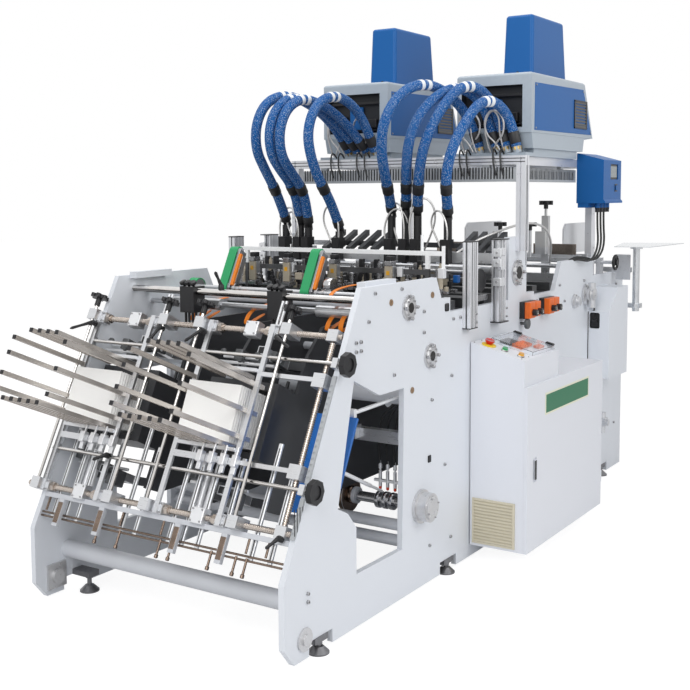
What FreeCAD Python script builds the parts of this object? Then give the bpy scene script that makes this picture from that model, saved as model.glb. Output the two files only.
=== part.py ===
import FreeCAD, Part
import math
import os
from FreeCAD import Vector as V

os.makedirs("parts", exist_ok=True)

# Two-lane tray forming machine. Sizes in millimetres: X runs across the machine,
# Y from the discharge racks to the feeder, Z up from the floor.

fit_gap = 0.3

# Side plates
plate_gap = 1290.0
plate_thick = 25.0
toe_height = 335.0
toe_chamfer = 90.0
incline_run = 540.0
hump_top = 1379.0
hump_end = 1170.0
shoulder_y = 1303.0
shoulder_top = 1280.0
rail_top = 1215.0
rise_start = 2550.0
rise_y = 2648.0
rise_top = 1370.0
rise_end = 3150.0
tail_top = 1260.0
plate_end = 3695.0
plate_bottom = 15.0
recess_height = 70.0
recess_half = 80.0

# Levelling feet
foot_pad = 86.0
foot_pad_rim = 6.0
foot_cone = 22.0
foot_stem = 20.0
foot_bracket_height = 24.0
foot_inset = 75.0
foot_places = (238.0, 1291.0, 3366.0)

# Cross tubes between the plates
front_tube = 76.0
front_tube_y = 185.0
front_tube_z = 196.0
low_tube = 50.0
low_tube_y = 910.0
low_tube_zs = (249.0, 318.0)
rear_tube = 76.0
rear_tube_places = ((930.0, 882.0), (2400.0, 300.0), (3500.0, 300.0))
shaft_dia = 44.0
shaft_y = 1022.0
shaft_z = 382.0
shaft_flange_x = 290.0
shaft_flange = 165.0
clamp_ring = 76.0
clamp_ring_xs = (464.0, 500.0, 534.0)
hanger_size = 30.0
hanger_end = 26.0
hanger_xs = (-532.0, -297.0, 118.0, 353.0)
thin_rod = 8.0
thin_rod_ups = (61.0, 77.0)

# Bearing flanges on the outer faces of the plates, and the shafts between them
mechanism_shaft = 36.0
upper_bearing_y = 917.0
upper_bearing_z = 1268.0
middle_bearing_y = 1111.0
middle_bearing_z = 1037.0
small_flange = 111.0
small_bore = 40.0
large_flange = 132.0
large_bore = 60.0
hub_flange = 150.0
hub_face = 128.0
toe_hub_y = 126.0
toe_hub_z = 93.0
toe_hub = 90.0

# Discharge rack: it lies along the plates' sloping front edge
lane_centre_far = -487.0
lane_centre_near = 163.0
lane_half = 160.0
rail_place = 151.0
rack_screw_low = 185.0
rack_screw_high = 965.0
rack_screw = 25.0
screw_overhang = 115.0
screw_stop = 44.0
nut_plate = 64.0
nut_plate_offsets = (50.0, 50.0)
clamp_bar_up = 411.0
clamp_bar_height = 26.0
rack_rod_low = 350.0
rack_rod_high = 850.0
rack_rod = 16.0
rack_rod_front = 20.0
rod_reach = 18.0
upright_width = 22.0
upright_depth = 12.0
upright_front = 22.0
block_size = 48.0
block_half = 22.0
arm_places = (412.0, 775.0)
lift_screw_x = 606.0
lift_screw = 24.0
spindle = 14.0
spindle_front = 48.0
spindle_offset_far = -181.0
spindle_offset_near = -205.0
spindle_offset_right = 245.0

# Cage of square tubes round each stack of trays
cage_tube = 18.0
cage_wall = 1.5
cage_reach = 450.0
cage_root = 40.0
cage_droop = 3.85
cage_floor = 476.0
cage_roof = 772.0
cage_left_rows = (515.0, 580.0, 668.0, 735.0)
cage_right_rows = (515.0, 622.0, 735.0)
cage_pitch = 50.0
tie = 14.0

# Trays held in the racks
tray_width = 270.0
tray_offset = -10.0
tray_height = 228.0
tray_front = 60.0
tray_pitch = 15.0
tray_count = 20
tray_rim = 5.0

# Press frames behind the racks: dark plates that carry the die, the mandrel and its guides
press_plate = 16.0
press_clear = 6.0
press_offset = 170.0
press_inset = 230.0
press_toe = 280.0
press_brow = 930.0
press_knee_y = 760.0
press_top = 1180.0
press_rear = 1480.0
press_low = 440.0
press_toe_y = 420.0
press_window = 150.0
die_front = 90.0
die_gap = 6.0
die_low = 452.0
die_floor = 480.0
die_roof = 742.0
die_high = 775.0
mandrel_front = 300.0
mandrel_depth = 120.0
mandrel_half = 118.0
mandrel_low = 498.0
mandrel_high = 712.0
mandrel_edge = 12.0
guide_rod = 30.0
guide_spread = 60.0
guide_end = 690.0
crosshead_front = 560.0
crosshead_depth = 40.0
crosshead_half = 45.0
guide_tube = 36.0
guide_tube_wall = 4.0
guide_tube_front = 44.0
guide_tube_x = 76.0
guide_tube_ups = (307.0, 897.0)

# Hand knobs
knob_dia = 98.0
knob_thick = 24.0
knob_hub = 34.0
star_seat = 1006.0
star_dia = 84.0
star_thick = 16.0
star_neck = 36.0

# Deck between the plates
deck_rod = 30.0
deck_rod_y = 640.0
deck_rod_z = 1318.0
deck_rod_pitch = 85.0
belt_shaft = 22.0
belt_shaft_y = 1005.0
belt_shaft_z = 1300.0
belt_width = 48.0
belt_thick = 5.0
belt_pulley = 46.0
belt_reach = 190.0
belt_offsets = (94.0, -76.0)
arm_thick = 6.0
roller = 52.0
roller_y = 760.0
roller_z = 1250.0
roller_shaft = 24.0
roller_spans = ((-30.0, 300.0), (150.0, 300.0))
finger_block_offsets = (187.0, 27.0)
finger_block_width = 80.0
finger_block_front = 612.0
finger_block_rear = 690.0
finger_block_low = 1222.0
finger_block_top = 1340.0
finger_dia = 12.0
finger_end = 1162.0
finger_pitch = 20.0
drum_x = -577.0
drum_dia = 76.0
stand_y = 1294.0
stand_xs = (-480.0, 560.0)
stand_bar_z = 1468.0
stand_size = 20.0
gun_bar_height = 50.0
gun_bar_z = 1405.0
stand_bar_ends = (-520.0, 645.0)
stand_stem_x = 530.0
stand_stem_top = 1561.0
guard_sheet_x = 430.0
guard_sheet_inset = 245.0
guard_sheet_low = 300.0
guard_sheet_top = 712.0
guard_sheet_thick = 12.0
post_rod = 16.0
post_rod_y = 1480.0
post_rod_zs = (1407.0, 1386.0)

# Feed bed: a pan, cross beams and four belt carriers, with the feed shaft above them
bed_front = 1330.0
bed_rear = 2600.0
bed_low = 1192.0
bed_pan = 20.0
bed_beam_height = 46.0
bed_beams = ((1330.0, 70.0), (1500.0, 120.0), (1710.0, 90.0), (2050.0, 60.0), (2300.0, 60.0),
             (2540.0, 60.0))
carrier_offset = 75.0
carrier_width = 28.0
carrier_height = 30.0
carrier_end = 2690.0
feed_shaft = 50.0
feed_shaft_y = 2041.0
feed_shaft_z = 1347.0
feed_wheel = 90.0
feed_wheel_width = 40.0
rib_bar_y = 1990.0
rib_bar_z = 1466.0
rib_bar = 26.0
rib_width = 27.0
rib_length = 205.0
rib_reach = 117.0
rib_thick = 30.0
rib_seat = 8.0
rib_rise = 88.0
rib_xs = (-400.0, -322.0, -244.0, -166.0, -88.0, 420.0, 476.0, 532.0, 588.0)

# Guide posts, gear cases and bridge
post_x = 40.0
post_y = 80.0
post_a_y = 1427.0
gun_post_lead = 50.0
post_foot_z = 1126.0
post_top_z = 1525.0
slot_width = 8.0
slot_depth = 9.0
case_front = 1938.0
case_step_y = 2050.0
case_rear = 2164.0
case_toe = 2266.0
case_peak = 1530.0
case_top = 1452.0
bridge_post = 50.0
bridge_y = 2022.0
bridge_low = 1458.0
bridge_top = 1940.0
beam_height = 45.0
beam_depth = 45.0
rear_post_y = 3183.0
rear_post_low = 1150.0
duct_height = 70.0
duct_depth = 42.0
duct_drop = 16.0
duct_slot_pitch = 24.0

# Melt tanks
tank_width = 425.0
tank_length = 890.0
tank_front = 2165.0
tank_near_side = 690.0
tank_pitch = 855.0
tank_skirt = 122.0
tank_height = 308.0
tank_rear_slope = 140.0
hopper_width = 176.0
hopper_length = 490.0
hopper_height = 344.0
hopper_front = 300.0
manifold_front = 2112.0
manifold_thick = 18.0
foot_length = 620.0

# Control cabinet
cabinet_gap = 5.0
cabinet_depth = 272.0
cabinet_front = 1508.0
cabinet_width = 1000.0
cabinet_low = 75.0
cabinet_height = 784.0
sheet = 2.5
door_thick = 17.0
door_gap = 0.5
console_width = 415.0
console_rise = 193.0
console_drop = 69.0
hinge_pin = 8.0
hinge_barrel = 16.0
cover_length = 222.0
cover_width = 266.0
cover_height = 20.0
cover_hinge_dia = 12.0
cover_hinge_up = 12.0
grille_size = 217.0
grille_slats = 13

# Glue guns and their hoses
gun_y = 1790.0
gun_body_z = 1400.0
gun_body = 120.0
gun_width = 44.0
hose_dia = 52.0
stub_dia = 42.0

# Controller, guard, table and feeder
controller_front = 2930.0
controller_length = 300.0
controller_depth = 170.0
controller_low = 1690.0
controller_height = 286.0
guard_front = 3080.0
guard_length = 330.0
guard_depth = 130.0
guard_low = 655.0
guard_height = 532.0
table_top = 1425.0
table_thick = 4.0
pole_x = 810.0
pole_y = 3530.0
pole_dia = 42.0
pole_low = 1018.0
wheel_x = 756.0
wheel_y = 3300.0
wheel_z = 1331.0
wheel_dia = 96.0
wheel_rim = 16.0
feeder_shaft = 22.0
feeder_post_x = 513.0
feeder_post_y = 2800.0
feeder_post_width = 40.0
feeder_post_top = 1620.0
feeder_seat = 1660.0
feeder_knob_thick = 24.0
feeder_beam_low = 1240.0
feeder_beam_height = 50.0
feeder_rod = 25.0
feeder_rod_y = 2710.0
feeder_rod_z = 1340.0
clamp_knob_xs = (153.0, 346.0)
clamp_knob_y = 2965.0
clamp_knob_seat = 1530.0
strip_y = 3000.0
strip_low = 1387.0
strip_top = 1450.0
strip_ends = (190.0, 456.0)
magazine_bar = 30.0
magazine_offset = 337.0
magazine_thick = 8.0
magazine_front = 3100.0
magazine_rear = 3640.0
magazine_top = 1566.0
magazine_chamfer = 32.0

# Air parts on the near plate and in its window
arm_y = 896.0
arm_z = 674.0
arm_width = 42.0
arm_height = 54.0
arm_end = 372.0
valve_bar_y = 994.0
valve_bar_z = 470.0
valve_xs = (480.0, 518.0, 556.0)
cylinder_xs = (-415.0, -205.0, 68.0, 377.0)

plate_in = plate_gap / 2
plate_out = plate_in + plate_thick
incline_angle = math.degrees(math.atan2(incline_run, hump_top - toe_height))
lanes = (lane_centre_far, lane_centre_near)
across = plate_out + 300
rack_end = rack_screw_high + 235
sides = (-1, 1)

nodes = {}


def box(x0, x1, y0, y1, z0, z1):
    return Part.makeBox(abs(x1 - x0), y1 - y0, z1 - z0, V(min(x0, x1), y0, z0))


def rod_x(x0, x1, y, z, dia):
    return Part.makeCylinder(dia / 2, x1 - x0, V(x0, y, z), V(1, 0, 0))


def rod_y(y0, y1, x, z, dia):
    return Part.makeCylinder(dia / 2, y1 - y0, V(x, y0, z), V(0, 1, 0))


def rod_z(z0, z1, x, y, dia):
    return Part.makeCylinder(dia / 2, z1 - z0, V(x, y, z0), V(0, 0, 1))


def slab_x(points, x0, x1):
    wire = Part.makePolygon([V(min(x0, x1), y, z) for y, z in points + points[:1]])
    return Part.Face(wire).extrude(V(abs(x1 - x0), 0, 0))


def slab_y(points, y0, y1):
    wire = Part.makePolygon([V(x, y0, z) for x, z in points + points[:1]])
    return Part.Face(wire).extrude(V(0, y1 - y0, 0))


def slab_z(points, z0, z1):
    wire = Part.makePolygon([V(x, y, z0) for x, y in points + points[:1]])
    return Part.Face(wire).extrude(V(0, 0, z1 - z0))


def fuse(shapes):
    return shapes[0].fuse(shapes[1:]).removeSplitter()


def on_rack(shape):
    """Lay a shape drawn upright (X across, Y inwards, Z up the rack) on the slope."""
    placed = shape.copy()
    placed.rotate(V(0, 0, 0), V(1, 0, 0), -incline_angle)
    placed.translate(V(0, 0, toe_height))
    return placed


# Side plates: one cut profile, with a window behind the rack and foot recesses
def side_plate(side):
    inner = side * plate_in
    outer = side * plate_out
    outline = [
        (0, toe_chamfer), (0, toe_height), (incline_run, hump_top),
        (hump_end, hump_top), (hump_end + 50, shoulder_top), (shoulder_y, shoulder_top),
        (shoulder_y, rail_top), (rise_start, rail_top), (rise_y, rise_top),
        (rise_end, rise_top), (rise_end, tail_top), (plate_end, tail_top),
        (plate_end, plate_bottom), (62, plate_bottom),
    ]
    window = [
        (482, 1017), (680, 929), (880, 929), (863, 230), (496, 233),
        (495, 424), (433, 496), (362, 531),
    ]
    plate = slab_x(outline, inner, outer)
    plate = plate.cut(slab_x(window, inner - side, outer + side))
    for place in foot_places:
        plate = plate.cut(box(inner - side, outer + side, place - recess_half,
                              place + recess_half, 0, recess_height))
    return plate


nodes["side_plate_near"] = side_plate(1)
far_plate = side_plate(-1)
for up in (rack_screw_low, rack_screw_high):
    notch = rod_x(-plate_out - 1, -plate_in + 1, 0, up, rack_screw + 2 * fit_gap)
    far_plate = far_plate.cut(on_rack(notch))
nodes["side_plate_far"] = far_plate


# Levelling feet: a pad with a cone, a threaded stem with its nut, and a bracket
def levelling_foot(x, y, bracket):
    top = bracket.BoundBox.ZMin
    pad = rod_z(0, foot_pad_rim, x, y, foot_pad)
    cone = Part.makeCone(foot_pad / 2, foot_stem, foot_cone, V(x, y, foot_pad_rim), V(0, 0, 1))
    stem = rod_z(foot_pad_rim + foot_cone, top + 1, x, y, foot_stem)
    nut = rod_z(top - 10, top, x, y, foot_stem + 12)
    return fuse([pad, cone, stem, nut, bracket])


feet = []
for place in foot_places:
    x = plate_in + plate_thick / 2
    bracket = box(plate_in - 8, plate_out + 4, place - 45, place + 45,
                  recess_height - foot_bracket_height, recess_height)
    feet.append(levelling_foot(x, place, bracket))
    x = -plate_in + foot_inset
    bracket = box(-plate_in, x + 30, place - 30, place + 30, recess_height,
                  recess_height + foot_bracket_height)
    feet.append(levelling_foot(x, place, bracket))
nodes["levelling_feet"] = Part.makeCompound(feet)

# Cross tubes, the drive shaft with its clamp rings, and the flat rail under the rack
tubes = [rod_x(-plate_in, plate_in, front_tube_y, front_tube_z, front_tube)]
for z in low_tube_zs:
    tubes.append(rod_x(-plate_in, plate_in, low_tube_y, z, low_tube))
for y, z in rear_tube_places:
    tubes.append(rod_x(-plate_in, plate_in, y, z, rear_tube))
for y, z in ((upper_bearing_y, upper_bearing_z), (middle_bearing_y, middle_bearing_z)):
    tubes.append(rod_x(-plate_in, plate_in, y, z, mechanism_shaft))
rings = [rod_x(x - 9, x + 9, shaft_y, shaft_z, clamp_ring) for x in clamp_ring_xs]
shaft = rod_x(-plate_in, plate_in, shaft_y, shaft_z, shaft_dia)
flange = rod_x(shaft_flange_x, shaft_flange_x + 22, shaft_y, shaft_z, shaft_flange)
hub = rod_x(shaft_flange_x + 22, shaft_flange_x + 60, shaft_y, shaft_z, clamp_ring)
tubes.append(fuse([shaft, flange, hub] + rings))
rail = [box(-plate_in, plate_in, -5, 5, rail_place - 10, rail_place + 10)]
for x in hanger_xs:
    rail.append(box(x - hanger_size / 2, x + hanger_size / 2, -9, 9, hanger_end, rail_place - 10))
tubes.append(on_rack(fuse(rail)))
nodes["cross_tubes"] = Part.makeCompound(tubes)


# Bearing flanges: turned rings on the outer faces of the plates
def bearing(side, y, z, dia, reach, bore):
    profile = [(bore / 2, 0), (dia / 2, 0), (dia / 2, 8), (dia * 0.36, 8), (dia * 0.33, reach),
               (bore / 2, reach)]
    wire = Part.makePolygon([V(r, 0, h) for r, h in profile + profile[:1]])
    ring = Part.Face(wire).revolve(V(0, 0, 0), V(0, 0, 1), 360)
    ring.rotate(V(0, 0, 0), V(0, 1, 0), side * 90)
    ring.translate(V(side * plate_out, y, z))
    return ring


bearings = []
for side in sides:
    bearings.append(bearing(side, upper_bearing_y, upper_bearing_z, small_flange, 14, small_bore))
    bearings.append(bearing(side, middle_bearing_y, middle_bearing_z, small_flange, 14,
                            small_bore))
    bearings.append(bearing(side, feed_shaft_y, feed_shaft_z, large_flange, 14, large_bore))
    hub = fuse([rod_x(0, 14, shaft_y, shaft_z, hub_flange),
                rod_x(14, 58, shaft_y, shaft_z, hub_face),
                rod_x(58, 66, shaft_y, shaft_z, hub_face - 24)])
    hub.translate(V(plate_out, 0, 0))
    bearings.append(hub if side > 0 else hub.mirror(V(0, 0, 0), V(1, 0, 0)))
bearings.append(fuse([rod_x(plate_out, plate_out + 8, toe_hub_y, toe_hub_z, toe_hub),
                      rod_x(plate_out + 8, plate_out + 16, toe_hub_y, toe_hub_z, toe_hub / 2)]))
toe_plate = box(-plate_in, -plate_in + 10, toe_hub_y - 66, toe_hub_y + 39, toe_hub_z - 53,
                toe_hub_z + 57)
boss = rod_x(-plate_in + 10, -plate_in + 26, toe_hub_y - 14, toe_hub_z, 64)
bearings.append(fuse([toe_plate, boss]))
nodes["bearing_flanges"] = Part.makeCompound(bearings)

# Lead screws across the rack, the lift screw and the spindles under the star knobs
spindles = (lane_centre_far + spindle_offset_far, lane_centre_far + spindle_offset_right,
            lane_centre_near + spindle_offset_near, lane_centre_near + spindle_offset_right)
stop = box(-plate_out - screw_overhang - 20, -plate_out - screw_overhang, -screw_stop / 2,
           screw_stop / 2, rack_screw_high - screw_stop / 2, rack_screw_high + screw_stop / 2)
screws = [
    rod_x(-plate_out - screw_overhang, plate_in, 0, rack_screw_low, rack_screw),
    fuse([rod_x(-plate_out - screw_overhang - 1, plate_in, 0, rack_screw_high, rack_screw), stop]),
    rod_z(rack_screw_low + block_size / 2, rack_screw_high - block_size / 2, lift_screw_x, 0,
          lift_screw),
]
for x in spindles:
    screws.append(rod_z(rack_screw_low - block_half, star_seat - fit_gap, x, -spindle_front,
                        spindle))
nodes["lead_screws"] = Part.makeCompound([on_rack(screw) for screw in screws])

# Chrome rods: two on the rack that carry the handwheels, two thin ones behind the hangers
# and two at the front of the deck
rods = [on_rack(rod_x(-plate_out, plate_out + rod_reach, -rack_rod_front, up, rack_rod))
        for up in (rack_rod_low, rack_rod_high)]
for up in thin_rod_ups:
    rods.append(on_rack(rod_x(-plate_in, plate_in, 9 + fit_gap + thin_rod / 2, up, thin_rod)))
rods.append(rod_x(-plate_in, plate_in, deck_rod_y, deck_rod_z, deck_rod))
rods.append(rod_x(-plate_in, plate_in, deck_rod_y + deck_rod_pitch, deck_rod_z - 12, deck_rod))
nodes["cross_rods"] = Part.makeCompound(rods)


# Rack uprights: bars, screw blocks, spindle blocks and ties of one lane, bored for the rods
def cage_frame(shape, up):
    """Tilt a shape drawn along Y by the droop of the cage and lift it up the rack."""
    placed = shape.copy()
    placed.rotate(V(0, 0, 0), V(1, 0, 0), cage_droop)
    placed.translate(V(0, 0, up))
    return placed


def bores():
    cutters = []
    for up in (rack_screw_low, rack_screw_high):
        cutters.append(rod_x(-across, across, 0, up, rack_screw + 2 * fit_gap))
    for up in (rack_rod_low, rack_rod_high):
        cutters.append(rod_x(-across, across, -rack_rod_front, up, rack_rod + 2 * fit_gap))
    for x in spindles:
        cutters.append(rod_z(rack_screw_low - 85, rack_end, x, -spindle_front, spindle + 2 * fit_gap))
    cutters.append(rod_z(rack_screw_low + block_half + 2, rack_screw_high - block_half - 2,
                         lift_screw_x, 0, lift_screw + 2 * fit_gap))
    cutters.append(box(-plate_out - 60, -plate_in, 0, 80, 0, rack_end))
    cutters.append(box(-across, across, -5 - fit_gap, 60, rail_place - 20, rail_place + 10 + fit_gap))
    return Part.makeCompound(cutters)


def block(x, up, front, half=block_size / 2):
    return box(x - half, x + half, -front, block_half, up - block_size / 2, up + block_size / 2)


def lane_frame(lane, lane_spindles):
    inner = lane_half - upright_width / 2
    half = cage_tube / 2
    pieces = []
    for side in sides:
        x = lane + side * lane_half
        pieces.append(box(x - upright_width / 2, x + upright_width / 2,
                          -upright_front - upright_depth, -upright_front,
                          rack_screw_low - block_half, rack_screw_high + block_half))
        for up in (rack_screw_low, rack_screw_high):
            pieces.append(block(x, up, upright_front))
    for x in lane_spindles:
        for up in (rack_screw_low, rack_screw_high):
            pieces.append(block(x, up, spindle_front + spindle))
    under = box(lane - inner, lane + inner, -46, -24, -half - tie, -half)
    over = box(lane - inner, lane + inner, -46, -24, half, half + tie)
    pieces.append(cage_frame(under, cage_floor))
    pieces.append(cage_frame(over, cage_roof))
    pieces.append(box(lane - inner, lane + inner, -upright_front - upright_depth,
                      -upright_front - 4, clamp_bar_up - clamp_bar_height / 2,
                      clamp_bar_up + clamp_bar_height / 2))
    return pieces


frames = []
cutter = bores()
for lane, own in zip(lanes, (spindles[:2], spindles[2:])):
    pieces = lane_frame(lane, own)
    if lane == lane_centre_near:
        edge = lane + lane_half + upright_width / 2
        for up in arm_places:
            pieces.append(box(edge - 4, lift_screw_x - 20, -34, -24, up - 9, up + 9))
            pieces.append(box(lift_screw_x - 28, lift_screw_x + 28, -34, 24, up - 28, up + 28))
    frames += fuse(pieces).cut(cutter).Solids
    half = nut_plate / 2
    for up, offset in zip((rack_screw_low, rack_screw_high), nut_plate_offsets):
        x = lane + offset
        nut = box(x - half, x + half, -24, 14, up - half, up + half)
        frames.append(nut.cut(cutter))
for up in (rack_screw_low, rack_screw_high):
    frames.append(block(lift_screw_x, up, block_half).cut(cutter))
for side in sides:
    for up in (rack_rod_low, rack_rod_high):
        reach = 34 if side > 0 else upright_front
        ear = box(side * plate_in, side * plate_out, -reach, 0, up - 20, up + 20)
        frames.append(ear.cut(cutter))
nodes["rack_uprights"] = Part.makeCompound([on_rack(frame) for frame in frames])


# Cage: square tubes reach forward from the uprights round each stack of trays
def cage_bar(x, up, root):
    half = cage_tube / 2
    hole = half - cage_wall
    bar = box(x - half, x + half, -cage_reach, root, -half, half)
    bar = bar.cut(box(x - hole, x + hole, -cage_reach - 1, root + 1, -hole, hole))
    return cage_frame(bar, up)


behind_uprights = box(-across, across, -upright_front - upright_depth, 200, 0,
                     rack_end)
cage = []
for lane in lanes:
    for up in cage_left_rows:
        cage.append(cage_bar(lane - lane_half, up, 0).cut(behind_uprights))
    for up in cage_right_rows:
        cage.append(cage_bar(lane + lane_half - upright_width / 2 - cage_tube / 2, up, cage_root))
    for i in range(5):
        cage.append(cage_bar(lane + (i - 2) * cage_pitch, cage_floor, cage_root))
    for i in range(4):
        cage.append(cage_bar(lane + (i - 1.5) * cage_pitch, cage_roof, cage_root))
nodes["cage_tubes"] = Part.makeCompound([on_rack(bar) for bar in cage])


# Trays nested on each other: every rim stands proud of the wall of the next
def tray_stack(lane):
    half = tray_width / 2
    centre = lane + tray_offset
    low = cage_tube / 2
    trays = []
    for i in range(tray_count):
        y = -tray_front + i * tray_pitch
        trays.append(box(centre - half, centre + half, y, y + tray_rim, low, low + tray_height))
    trays.append(box(centre - half + 3, centre + half - 3, -tray_front + 1,
                     -tray_front + tray_count * tray_pitch, low, low + tray_height - 3))
    return cage_frame(fuse(trays), cage_floor)


nodes["tray_stacks"] = Part.makeCompound([on_rack(tray_stack(lane)) for lane in lanes])


# Octagonal handwheels on the near ends of the two rack rods
def octagon(x, up):
    points = []
    for i in range(8):
        angle = math.radians(45 * i + 22.5)
        points.append((-rack_rod_front + knob_dia / 2 * math.cos(angle),
                       up + knob_dia / 2 * math.sin(angle)))
    plain = slab_x(points, x, x + knob_thick)
    dished = rod_x(x + knob_thick - 5, x + knob_thick + 1, -rack_rod_front, up, knob_dia * 0.55)
    return plain.cut(dished)


for name, up in (("handwheel_upper", rack_rod_high), ("handwheel_lower", rack_rod_low)):
    start = plate_out + rod_reach + fit_gap
    hub = rod_x(start, start + 12, -rack_rod_front, up, knob_hub)
    nodes[name] = on_rack(fuse([hub, octagon(start + 10, up)]))


# Star knobs: lobed hand knobs on the upper ends of the spindles
def star(dia, thick, lobes, neck):
    parts = [rod_z(0, neck, 0, 0, dia * 0.3), rod_z(neck, neck + thick, 0, 0, dia * 0.7)]
    for i in range(lobes):
        angle = 2 * math.pi * i / lobes
        parts.append(rod_z(neck, neck + thick, 0.36 * dia * math.cos(angle),
                           0.36 * dia * math.sin(angle), dia * 0.27))
    return fuse(parts)


for i, x in enumerate(spindles):
    knob = star(star_dia, star_thick, 6, star_neck)
    knob.translate(V(x, -spindle_front, star_seat))
    nodes["star_knob_%d" % (i + 1)] = on_rack(knob)


# Head belts: closed loops round two pulleys, lying parallel to the rack
def loop(length, dia, thick, width):
    outer = fuse([box(-width / 2, width / 2, -dia / 2 - thick, dia / 2 + thick, 0, length),
                  rod_x(-width / 2, width / 2, 0, 0, dia + 2 * thick),
                  rod_x(-width / 2, width / 2, 0, length, dia + 2 * thick)])
    inner = fuse([box(-width, width, -dia / 2, dia / 2, 0, length),
                  rod_x(-width, width, 0, 0, dia), rod_x(-width, width, 0, length, dia)])
    return outer.cut(inner)


def on_belt_shaft(shape, x):
    placed = shape.copy()
    placed.rotate(V(0, 0, 0), V(1, 0, 0), -incline_angle)
    placed.translate(V(x, belt_shaft_y, belt_shaft_z))
    return placed


belt_xs = [lane + offset for lane, offset in zip(lanes, belt_offsets)]
belts = [on_belt_shaft(loop(belt_reach, belt_pulley, belt_thick, belt_width), x) for x in belt_xs]
drum_belt = rod_x(-belt_width / 2, belt_width / 2, 0, 0, drum_dia + 2 * belt_thick)
drum_belt = drum_belt.cut(rod_x(-belt_width, belt_width, 0, 0, drum_dia))
belts.append(on_belt_shaft(drum_belt, drum_x))
nodes["head_belts"] = Part.makeCompound(belts)

# Head frames: the belt shaft with pulleys and arms, the stand bar and the gun bar
arms = [rod_x(-plate_in, plate_in, belt_shaft_y, belt_shaft_z, belt_shaft)]
wheel = belt_pulley - 2 * fit_gap
for x in belt_xs:
    side = belt_width / 2
    arms.append(on_belt_shaft(rod_x(-side, side, 0, 0, wheel), x))
    arms.append(on_belt_shaft(rod_x(-side, side + 1 + arm_thick, 0, belt_reach, wheel), x))
    arms.append(on_belt_shaft(box(side + 1, side + 1 + arm_thick, -16, 16, 0, belt_reach + 16), x))
arms.append(on_belt_shaft(rod_x(-belt_width / 2, belt_width / 2, 0, 0,
                                drum_dia - 2 * fit_gap), drum_x))
rollers = [rod_x(-plate_in, plate_in, roller_y, roller_z, roller_shaft)]
for lane, (near_end, length) in zip(lanes, roller_spans):
    rollers.append(rod_x(lane + near_end, lane + near_end + length, roller_y, roller_z, roller))
stand_low = shoulder_top - 40
stand_front = stand_y - 10
stand_rear = stand_y + 8
stands = [box(-plate_in, plate_in, stand_front, stand_rear, stand_low, stand_low + 22)]
for x in stand_xs:
    stands.append(box(x - 9, x + 9, stand_front, stand_rear, stand_low, stand_bar_z))
stands.append(box(stand_bar_ends[0], stand_bar_ends[1], stand_front, stand_rear, stand_bar_z,
                  stand_bar_z + stand_size))
stands.append(box(stand_xs[0], stand_xs[1], stand_y - 4, stand_y + 4, stand_bar_z - 90,
                  stand_bar_z - 66))
stands.append(box(stand_bar_ends[1] - 9, stand_bar_ends[1], stand_front, stand_rear,
                  stand_bar_z - 73, stand_bar_z + 45))
stands.append(rod_z(stand_bar_z, stand_stem_top, stand_stem_x, stand_y, 14))
gun_bar = box(-plate_out, plate_out, gun_y + 5, gun_y + 35, gun_bar_z, gun_bar_z + gun_bar_height)
backing = on_rack(box(guard_sheet_x, plate_in, guard_sheet_inset,
                      guard_sheet_inset + guard_sheet_thick, guard_sheet_low, guard_sheet_top))
fingers = []
half = finger_block_width / 2
for lane, offset in zip(lanes, finger_block_offsets):
    x = lane + offset
    finger_block = box(x - half, x + half, finger_block_front, finger_block_rear, finger_block_low,
                       finger_block_top)
    finger_block = finger_block.cut(rod_x(x - half - 1, x + half + 1, deck_rod_y, deck_rod_z,
                                          deck_rod + 2 * fit_gap))
    rods = [rod_z(finger_end, finger_block_low, x + (i - 1.5) * finger_pitch, deck_rod_y,
                  finger_dia) for i in range(4)]
    fingers.append(fuse([finger_block] + rods))
post_rods = [rod_x(-plate_out, plate_out, post_rod_y, z, post_rod) for z in post_rod_zs]


# Press frames: side plates bored for the cross tube, the die that the trays leave by, a
# mandrel on two guide rods behind it, a crosshead, and two square tubes that face the rack
def press_profile(x):
    """The outline of a press plate, with its front edge parallel to the rack."""
    def point(inward, up):
        spot = on_rack(Part.Vertex(0, inward, up)).Point
        return (spot.y, spot.z)
    outline = [point(press_inset, press_toe), point(press_inset, press_brow),
               (press_knee_y, press_top), (press_rear, press_top), (press_rear, press_low),
               (press_toe_y, press_low)]
    plate = slab_x(outline, x - press_plate / 2, x + press_plate / 2)
    for y, z in rear_tube_places:
        plate = plate.cut(rod_x(x - 50, x + 50, y, z, rear_tube + 2 * fit_gap))
    plate = plate.cut(rod_x(x - 50, x + 50, middle_bearing_y, middle_bearing_z,
                            mechanism_shaft + 2 * fit_gap))
    middle = press_rear - press_window
    return plate.cut(rod_x(x - 50, x + 50, middle, (press_low + press_top) / 2, press_window))


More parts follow.
